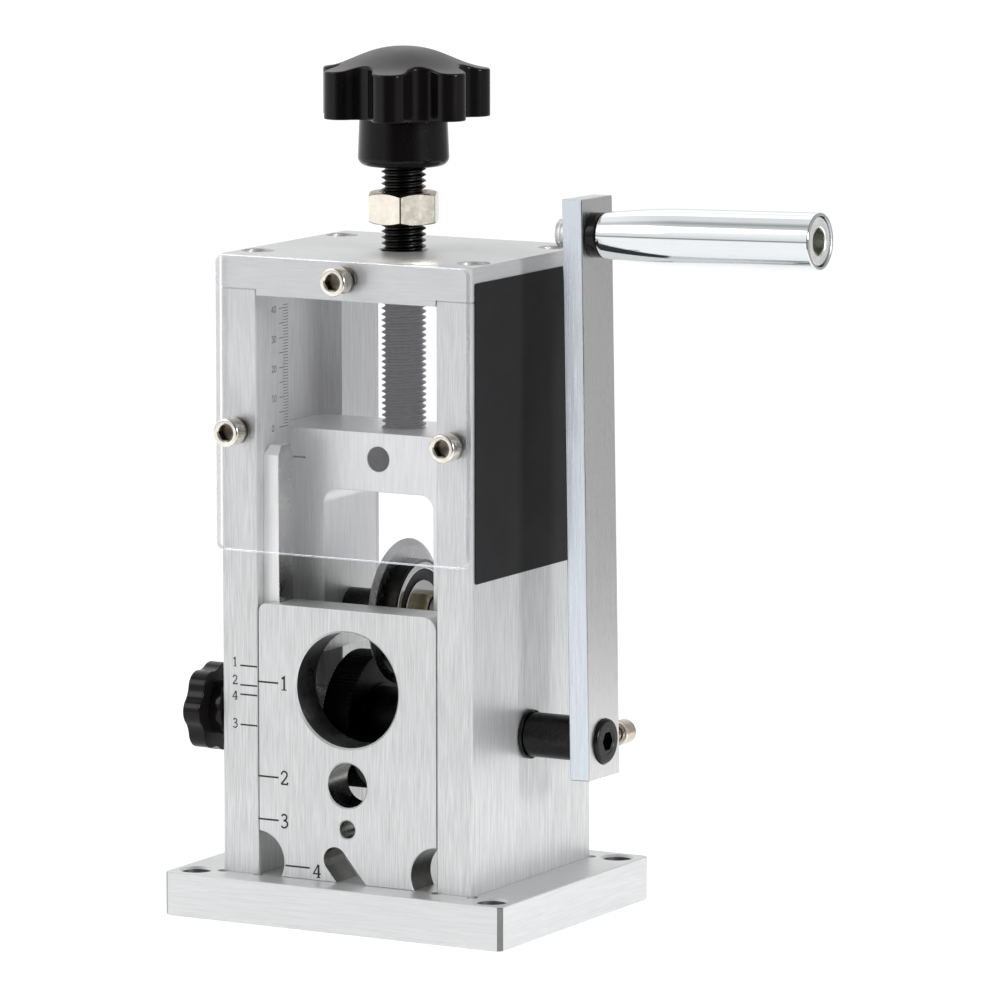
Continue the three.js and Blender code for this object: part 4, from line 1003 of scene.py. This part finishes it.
def make_blade_head():
    where = BLADE_AT @ TO_X
    high = span("blade", BLADE_AT)[1]
    radius = high.z
    half = high.x
    tip_half = 0.12
    bevel = 2.5
    profile = [
        (10, -half), (radius - bevel, -half), (radius - 0.1, -tip_half), (radius, 0),
        (radius - 0.1, tip_half), (radius - bevel, half), (10, half),
    ]
    finish(turned(profile, 160), "blade_disc", "blade_steel", "blade", "blade", "steel", where, 8)
    low, high = span("blade_hub", BLADE_AT)
    bearing_low, bearing_high = span("bearing_outer_ring", BLADE_AT)
    seat = bearing_high.z + 0.3
    profile = soften([
        (7.3, low.x), (9.7, low.x), (9.7, half), (high.z, half), (high.z, high.x),
        (seat, high.x), (seat, bearing_low.x), (7.3, bearing_low.x),
    ], 0.4)
    finish(turned(profile, FINE), "blade_hub_turned", "black_steel", "blade", "blade_hub", where=where)
    low, high = span("blade_clamp_ring", BLADE_AT)
    clamp = tube(10, high.z, low.x, high.x, 0.4, FINE)
    pins = [hex_key(2.5, low.x - 1, low.x + 1.5, at(*p, 0)) for p in circle(0, 0, 11.9, 3)]
    finish(combined(clamp, pins), "blade_clamp_ring_turned", "black_steel", "blade", "blade_clamp_ring",
           where=where)
    outer_bore = bearing_high.z - 2.2
    for side, ride, bore in (("outer", "blade", outer_bore), ("inner", "carrier", AXLE_BORE)):
        ring(f"bearing_{side}_ring", f"bearing_{side}_race", "bearing_steel", ride, bore, BLADE_AT,
             0.35, "steel")
    inner = span("bearing_inner_ring", BLADE_AT)[1].z
    back = bearing_low.x + 0.6
    face = bearing_high.x - 0.5
    seal = soften([
        (inner + 0.2, back), (outer_bore, back), (outer_bore, face), (outer_bore - 0.8, face),
        (outer_bore - 1.1, face - 0.3), (inner + 0.8, face - 0.3), (inner + 0.5, face), (inner + 0.2, face),
    ], 0.1, steps=2)
    finish(turned(seal, FINE), "bearing_seal", "seal_rubber", "blade", slot="black_plastic", where=where)
    low, high = span("axle_nut", BLADE_AT)
    width = high.x - low.x
    flats = 14
    corner = flats / math.sqrt(3)
    nut = hex_nut(flats, width, [(0, 0), (corner, 0), (corner, width - 0.9), (flats / 2, width), (0, width)],
                  AXLE_BORE, 0.4)
    finish(nut, "axle_nut_hex", "bronze", "carrier", "axle_nut", where=at(low.x, 0, 0) @ where)
    # Both axle sleeves take dark finishes: painted shade that merges them with the shaded carrier wall
    for side, look in (("left", "shaft_black"), ("right", "dark_steel")):
        node = f"axle_sleeve_{side}"
        ring(node, f"{node}_turned", look, "carrier", AXLE_BORE, BLADE_AT, 0.4, "steel")
    low, high = span("blade_axle", BLADE_AT)
    axle = rod(high.z, low.x, high.x, 0.5)
    finish(axle, "blade_axle_turned", "steel", "carrier", "blade_axle", where=where)


def make_shaft_line():
    for node, side in (("bush_left", TO_LEFT), ("bush_right", TO_X)):
        where = SHAFT_AT @ side
        low, high = span(node, where)
        flange = low.z + 2.5
        outline = [(SHAFT_BORE, low.z), (high.x, low.z), (high.x, flange), (9.8, flange), (9.8, high.z),
                   (SHAFT_BORE, high.z)]
        finish(turned(soften(outline, 0.35), FINE), f"{node}_turned", "bronze", "frame", node, where=where)
    where = CRANK_AT @ TO_X
    low, high = span("drive_shaft", CRANK_AT)
    radius = 7.5
    groove_at = high.x - 2.4
    profile = [
        (0, low.x), *arc(radius - 0.8, low.x + 0.8, 0.8, -90, 0, 4),
        (radius, groove_at - 0.25), (radius - 0.12, groove_at), (radius, groove_at + 0.25),
        *arc(radius - 0.9, high.x - 0.9, 0.9, 0, 90, 5),
        (4.4, high.x), (4.2, high.x - 0.15), (0, high.x - 0.15),
    ]
    shaft = combined(turned(profile, FINE), [hex_key(6, high.x - 8, high.x + 1, turn=math.pi / 6)])
    finish(shaft, "drive_shaft_turned", "shaft_black", "crank", "drive_shaft", "black_steel", where)
    teeth = 110
    # Places, as shares of a tooth, and depths of the corners of one tooth
    tooth = ((-0.25, 0.0), (0.0, 0.0), (0.25, 0.35), (0.5, 0.35))
    for node in ("feed_wheel_left", "feed_wheel_right"):
        low, high = span(node, CRANK_AT)
        outline = []
        for share, depth in [(i + place, depth) for i in range(teeth) for place, depth in tooth]:
            angle = FULL_TURN * share / teeth
            outline.append(((high.z - depth) * math.cos(angle), (high.z - depth) * math.sin(angle)))
        blank = plate(outline, low.x, high.x, [circle(0, 0, SHAFT_BORE)], edge=0.3)
        ends = ((high.x - 0.8, high.x + 1), (low.x - 1, low.x + 0.8))
        grooves = [tube(12.5, 19.5, *end, 0.2, FINE) for end in ends]
        wheel = combined(blank, grooves)
        finish(wheel, f"{node}_knurled", "wheel_black", "crank", node, "black_steel", where, 20)
    for node, look, slot in (
        ("wheel_spacer", "wheel_black", "black_steel"), ("shaft_spacer_left", "steel", "steel"),
        ("shaft_spacer_right", "steel", "steel"), ("shaft_ring", "shaft_black", "black_steel"),
    ):
        ring(node, f"{node}_turned", look, "crank", SHAFT_BORE, CRANK_AT, 0.3, slot)


def make_crank():
    low, high = span("crank_arm", ARM_AT)
    spacer_low, spacer_high = span("handle_spacer", ARM_AT)
    to_handle = at(0, (spacer_low.y + spacer_high.y) / 2, (spacer_low.z + spacer_high.z) / 2)
    arm = plate(box_outline(low.y, high.y, low.z, high.z, 0.35), low.x, high.x, edge=0.45, where=SIDEWAYS)
    tools = [
        drill(7.65, low.x - 0.2, high.x + 0.2, 0.25, where=ARM_AT.inverted() @ CRANK_AT @ TO_X),
        drill(AXLE_BORE, low.x, high.x, 0.4, where=to_handle @ TO_X),
        rod(2.8, 0, high.y + 2, 0, SMALL, at(ARM_MIDDLE, 0, 0) @ TO_BACK),
    ]
    piece = finish(combined(arm, tools), "crank_arm_milled", "satin_aluminium", "crank", "crank_arm",
                   where=ARM_AT)
    # The +X faces take the neutral copy of the finish: painted shade on that side
    dress(piece, "arm_side", lambda centre, normal: normal.x > 0.7)
    dress(piece, "top_aluminium", lambda centre, normal: normal.z > 0.9)
    backward = ARM_AT @ TO_BACK
    screw("crank_screw", "crank_cap_screw", "crank", backward, (4.2, 5.8), 2.5, (4, 3), "screw_brown")
    spring_washer("crank_spring_washer", "crank_split_washer", "crank", backward, 2.8, 4.2)
    # The handle bolt's near-white colour is painted light in the sleeve's recess, and its socket is painted
    # shade
    screw("handle_bolt", "handle_cap_bolt", "crank", ARM_AT @ TO_X, (8, 6.5), 5, (8, 5),
          "bolt_bright", 1.5, 9, "socket_light")
    handle_at = ARM_AT @ to_handle
    ring("handle_spacer", "handle_spacer_moulded", "black_plastic", "crank", AXLE_BORE, handle_at, 0.7)
    low, high = span("handle_sleeve", handle_at)
    inner = 7.7
    outer = high.z
    swell = 28
    steps = 40
    recess = (8.3, high.x - 7.4)
    profile = [
        (AXLE_BORE, low.x), (inner - 0.6, low.x), (inner - 0.15, low.x + 0.2), (inner, low.x + 0.7),
    ]
    for share in [i / steps for i in range(1, steps + 1)]:
        profile.append((inner + (outer - inner) * math.sin(math.pi / 2 * share), low.x + 0.7 + swell * share))
    profile += arc(outer - 0.55, high.x - 0.55, 0.55, 0, 90, 6)
    profile += [(recess[0], high.x), recess, (AXLE_BORE, recess[1])]
    finish(turned(profile, 160), "handle_sleeve_turned", "chrome", "handle", "handle_sleeve",
           where=handle_at @ TO_X, sharp=35)


# Radius and chamfer of the guide plate's wire holes, whose heights are in the record
WIRE_HOLES = {"wire_hole_1": (19.5, 0.7), "wire_hole_2": (7.5, 0.5), "wire_hole_3": (3.0, 0.4)}


def make_guide():
    low, high = span("guide_plate")
    left_corner = 2.8
    right_corner = 4.6
    relief_radius = 10
    relief_height = low.z + 5
    notch_radius = 4.4
    left = low.x + 0.2
    outline = [
        (left, low.z), (high.x, low.z),
        *arc(high.x - right_corner, high.z - right_corner, right_corner, 0, 90, 10),
        *arc(left + left_corner, high.z - left_corner, left_corner, 90, 180, 10),
    ]
    blank = front_plate(outline, (low, high))
    boxes = {opening["name"]: opening["box_m"] for opening in frame["record"]["physics"]["openings"]}
    tools = []
    bores = []
    for name, (radius, chamfer) in WIRE_HOLES.items():
        height = (boxes[name][0][2] + boxes[name][1][2]) / 2 / MM
        tools.append(drill(radius, -high.y, -low.y, chamfer, FINE, TO_FRONT @ at(0, height, 0)))
        bores.append((height, radius))
    for x in (-INNER, INNER):
        tools.append(drill(relief_radius, -high.y, -low.y, 0.3, FINE, TO_FRONT @ at(x, relief_height, 0)))
    notch = arc(0, 0, notch_radius, 0, 180, 32) + [(-notch_radius, -16), (notch_radius, -16)]
    place = TO_FRONT @ at(-4.6, low.z + 7.6, 0) @ Matrix.Rotation(math.radians(40), 4, "Z")
    strip_side = box_outline(low.x - 1, span("clamp_strip")[1].x + 0.3, low.z - 1, high.z + 1)
    for outline, front, where in ((notch, 1 - low.y, place), (strip_side, -low.y - 4.1, TO_FRONT)):
        tools.append(prism(outline, -high.y - 1, front, where))
    piece = finish(combined(blank, tools), "guide_plate_milled", "guide_aluminium", "guide", "guide_plate",
                   "brushed_aluminium", sharp=20)

    def in_bore(centre, normal, holes):
        inside = [math.hypot(centre.x, centre.z - height) < radius + 0.05 for height, radius in holes]
        return abs(normal.y) < 0.3 and any(inside)

    def at_foot(centre, normal):
        relief = math.hypot(abs(centre.x) - INNER, centre.z - relief_height) < relief_radius + 0.05
        return abs(normal.y) < 0.3 and (relief or abs(centre.x) < 16 and low.z + 0.3 < centre.z < low.z + 13)

    # Bore walls take darker finishes: painted shade inside the holes, deepest in the big wire hole
    dress(piece, "bore_aluminium", lambda centre, normal: in_bore(centre, normal, bores[:1]))
    dress(piece, "bore_light", lambda centre, normal: in_bore(centre, normal, bores[1:]))
    # The notch and relief walls take a dark finish: painted shade in the recesses
    dress(piece, "notch_dark", at_foot)


def make_strip():
    low, high = span("clamp_strip")
    bevel = 3
    taper = 0.8
    outline = [
        (low.x, low.z), (high.x, low.z), (high.x, high.z - bevel), (high.x - taper, high.z),
        (low.x + taper, high.z), (low.x, high.z - bevel),
    ]
    strip = front_plate(outline, (low, high), 0.3)
    cut = [(-bevel - 1, high.z + 1), (0, high.z + 1), (0, high.z), (-bevel, high.z - bevel),
           (-bevel - 1, high.z - bevel)]
    wedge = prism(cut, low.x - 1, high.x + 1, at(0, low.y + bevel, 0) @ SIDEWAYS)
    # The strip's near-white finish is painted light, making up for the column's shade
    piece = finish(combined(strip, [wedge]), "clamp_strip_milled", "strip_aluminium", "frame", "clamp_strip",
                   "brushed_aluminium")
    # The +X side in the gap by the column takes a darker finish: painted shade
    dress(piece, "strip_side", lambda centre, normal: normal.x > 0.7)


def make_clamp():
    knob_side = span("clamp_knob")[1].x
    low, high = span("clamp_stud")
    clamp_at = at(0, (low.y + high.y) / 2, (low.z + high.z) / 2)
    hub_height = 4.6
    hub = [(0, 0), (8.6, 0), (9, 0.4), (9, hub_height + 1), (0, hub_height + 1)]
    knob = star_knob(13.5, 15.2, 5.5, 7.9, 1.4, 0.7, hub_height, hub, [rod(4.3, -1, 8.3, 0, SMALL)])
    finish(knob, "clamp_knob_moulded", "black_plastic", "clamp_knob", "clamp_knob", sharp=35,
           where=at(knob_side, 0, 0) @ clamp_at @ TO_LEFT @ Matrix.Rotation(-math.pi / 2, 4, "Z"))
    finish(rod(4, -high.x, -low.x, 0.4), "clamp_stud_turned", "nickel", "clamp_knob", "clamp_stud",
           where=clamp_at @ TO_LEFT)
    low, high = span("clamp_pad")
    # The pad's visible face stands clear of the stud's end
    finish(rod(3.7, low.x + 0.05, high.x, 0.4), "clamp_pad_turned", "bronze", "clamp_pad", "clamp_pad",
           where=clamp_at @ TO_X)


def make_shield():
    low, high = span("clear_shield")
    corner = 2.5
    left, right, bottom, top = low.x + corner, high.x - corner, low.z + corner, high.z - corner
    outline = []
    for number, (x, z) in enumerate(((right, bottom), (right, top), (left, top), (left, bottom))):
        outline += arc(x, z, corner, 90 * number - 90, 90 * number, 8)
    centres = [middle(f"shield_screw_{number}") for number in (1, 2, 3)]
    holes = [circle(centre.x, centre.z, SCREW_HOLE, SMALL) for centre in centres]
    shield = plate(outline, -high.y, -low.y, holes, edge=0.2, steps=2, where=TO_FRONT)
    sheet = finish(shield, "clear_shield_sheet", "clear_acrylic", "frame", "clear_shield")
    dress(sheet, "acrylic_edge", lambda centre, normal: abs(normal.y) < 0.99)
    for number in range(1, 4):
        node = f"shield_spacer_{number}"
        low, high = span(node, TO_FRONT)
        finish(tube(SCREW_HOLE, (high.x - low.x) / 2, low.z, high.z, 0.15), f"shield_spacer_ring_{number}",
               "spacer_dark", "frame", node, "nickel", TO_FRONT @ over((low, high), 0))
        screw(f"shield_screw_{number}", f"shield_cap_screw_{number}", "frame", TO_FRONT,
              (4.8, 5.3), 3, (5, 3))


def make_label():
    low, high = span("side_label")
    outline = soften(box_outline(low.y, high.y, low.z, high.z), 1.2, steps=6)
    film = plate(outline, low.x, high.x, edge=0.12, steps=2, where=SIDEWAYS)
    finish(film, "side_label_film", "label_black", "frame", "side_label")


def make_frame_screws():
    for number in range(1, 5):
        for place, outward in (("top", UPWARD), ("base", TO_DOWN)):
            screw(f"{place}_screw_{number}", f"{place}_cap_screw_{number}", "frame", outward,
                  (5, 6), 3, (5, 3))


# Ink marks: strokes on a face, with x to the right and y up as the face is looked at

def bowed(points, steps=5):
    """A stroke through its points, smoothed as one curve."""
    points = [Vector(p) for p in points]
    made = []
    for i in range(len(points) - 1):
        before = points[max(i - 1, 0)]
        start, end = points[i], points[i + 1]
        after = points[min(i + 2, len(points) - 1)]
        for step in range(steps):
            t = step / steps
            made.append(0.5 * (
                2 * start + (end - before) * t + (2 * before - 5 * start + 4 * end - after) * t * t
                + (3 * start - before - 3 * end + after) * t ** 3))
    made.append(points[-1])
    return made


# Strokes of each numeral in a cell 0.62 wide and 1 tall: (smoothed, thickness as a share, points)
NUMERALS = {
    "0": [(True, 1.0, [(0.31, 1), (0.08, 0.8), (0.04, 0.5), (0.08, 0.2), (0.31, 0), (0.54, 0.2), (0.58, 0.5),
                       (0.54, 0.8), (0.31, 1)])],
    "1": [(False, 1.2, [(0.33, 0.04), (0.33, 0.98), (0.12, 0.84)]),
          (False, 0.6, [(0.12, 0.03), (0.54, 0.03)])],
    "2": [(True, 1.0, [(0.07, 0.74), (0.14, 0.93), (0.33, 1), (0.53, 0.86), (0.5, 0.62), (0.28, 0.32),
                       (0.04, 0.05)]),
          (False, 1.0, [(0.04, 0.05), (0.56, 0.05), (0.6, 0.2)])],
    "3": [(True, 1.0, [(0.08, 0.84), (0.22, 0.98), (0.45, 0.92), (0.5, 0.74), (0.38, 0.57), (0.22, 0.53)]),
          (True, 1.0, [(0.22, 0.53), (0.44, 0.49), (0.57, 0.3), (0.46, 0.07), (0.22, 0.0), (0.04, 0.12)])],
    "4": [(False, 0.8, [(0.42, 1.0), (0.02, 0.3), (0.62, 0.3)]), (False, 1.2, [(0.44, 0.98), (0.44, 0.04)]),
          (False, 0.6, [(0.28, 0.03), (0.6, 0.03)])],
}
NUMERAL_STEP = 0.72
INK_LIFT = 0.03


def stroke_faces(points, width, verts, faces):
    """A flat ribbon along a stroke."""
    points = [Vector(p) for p in points]
    first = len(verts)
    for i, point in enumerate(points):
        back = (point - points[i - 1]).normalized() if i else Vector((0, 0))
        ahead = (points[i + 1] - point).normalized() if i + 1 < len(points) else Vector((0, 0))
        along = (back + ahead).normalized() if (back + ahead).length > 1e-6 else ahead
        reach = width / 2 / max(0.5, along.dot(ahead if ahead.length else back))
        side = Vector((-along.y, along.x)) * reach
        verts += [(*(point + side), 0), (*(point - side), 0)]
    for a in range(first, len(verts) - 2, 2):
        faces.append([a + 1, a + 3, a + 2, a])


def ink(name, strokes, ride, where):
    """Printed strokes as one thin piece; where turns the strokes' plane to the face."""
    verts = []
    faces = []
    for points, width in strokes:
        stroke_faces(points, width, verts, faces)
    obj = linked("shape", mesh_of(verts, faces, where @ at(0, 0, INK_LIFT)))
    finish(obj, name, "ink", ride, slot="black_steel")


def numeral_strokes(text, x, y, height, width):
    """Strokes of a number whose first cell's lower left corner is (x, y)."""
    strokes = []
    for place, figure in enumerate(text):
        left = x + place * NUMERAL_STEP * height
        for smooth, share, points in NUMERALS[figure]:
            moved = [(left + px * height, y + py * height) for px, py in points]
            strokes.append((bowed(moved) if smooth else moved, width * share))
    return strokes


def level(x0, x1, height, width):
    """A level stroke."""
    return [(x0, height), (x1, height)], width


def make_marks():
    strokes = []
    for text, height in (("1", 80.8), ("2", 48.7), ("3", 34.1)):
        strokes.append(level(-34.2, -26.4, height, 0.6))
        strokes += numeral_strokes(text, -25.6, height - 2.3, 4.6, 0.6)
    strokes.append(level(-23.9, -14.4, 19.0, 0.6))
    strokes += numeral_strokes("4", -13.0, 15.9, 4.6, 0.6)
    ink("guide_marks", strokes, "guide", at(0, span("guide_plate")[0].y, 0) @ TO_FRONT)
    strokes = []
    for text, height, rise in (("1", 85.7, 1.0), ("2", 79.1, 1.5), ("4", 75.9, -0.5), ("3", 65.6, 0.3)):
        strokes.append(level(-41.2, -34.6, height, 0.54))
        strokes += numeral_strokes(text, -44.2, height + rise - 1.5, 3.05, 0.41)
    ink("column_marks", strokes, "frame", at(0, FRONT, 0) @ TO_FRONT)
    # The inner wall is looked at from +X, where +Y is to the right; its ruler has a tick each millimetre
    strokes = [level(-20 - (3.2 if tick % 5 else 6.0), -20, tick, 0.26) for tick in range(165, 207)]
    for text, height in (("40", 205), ("30", 195), ("20", 185), ("10", 175), ("0", 165)):
        strokes += numeral_strokes(text, -30.8, height - 1.1, 2.2, 0.33)
    ink("ruler_marks", strokes, "frame", at(-INNER, 0, 0) @ SIDEWAYS)
    ink("index_mark", [level(-34.2, -28.2, 154.4, 0.6)], "carrier", at(0, span("carrier")[0].y, 0) @ TO_FRONT)


def dress_nodes():
    """Finishes of the CAD nodes that keep their own shape."""
    for node in ("side_plate_left", "side_plate_right"):
        mesh = NODES[node].data
        for number in range(len(mesh.materials)):
            mesh.materials[number] = LOOKS["column_aluminium"]


stage_camera()
stage_world()
stage_floor()
stage_lights()
make_base()
make_top_plate()
make_frame_screws()
make_carrier()
make_adjuster()
make_lock_nut()
make_top_knob()
make_blade_head()
make_shaft_line()
make_crank()
make_guide()
make_strip()
make_clamp()
make_shield()
make_label()
make_marks()
dress_nodes()
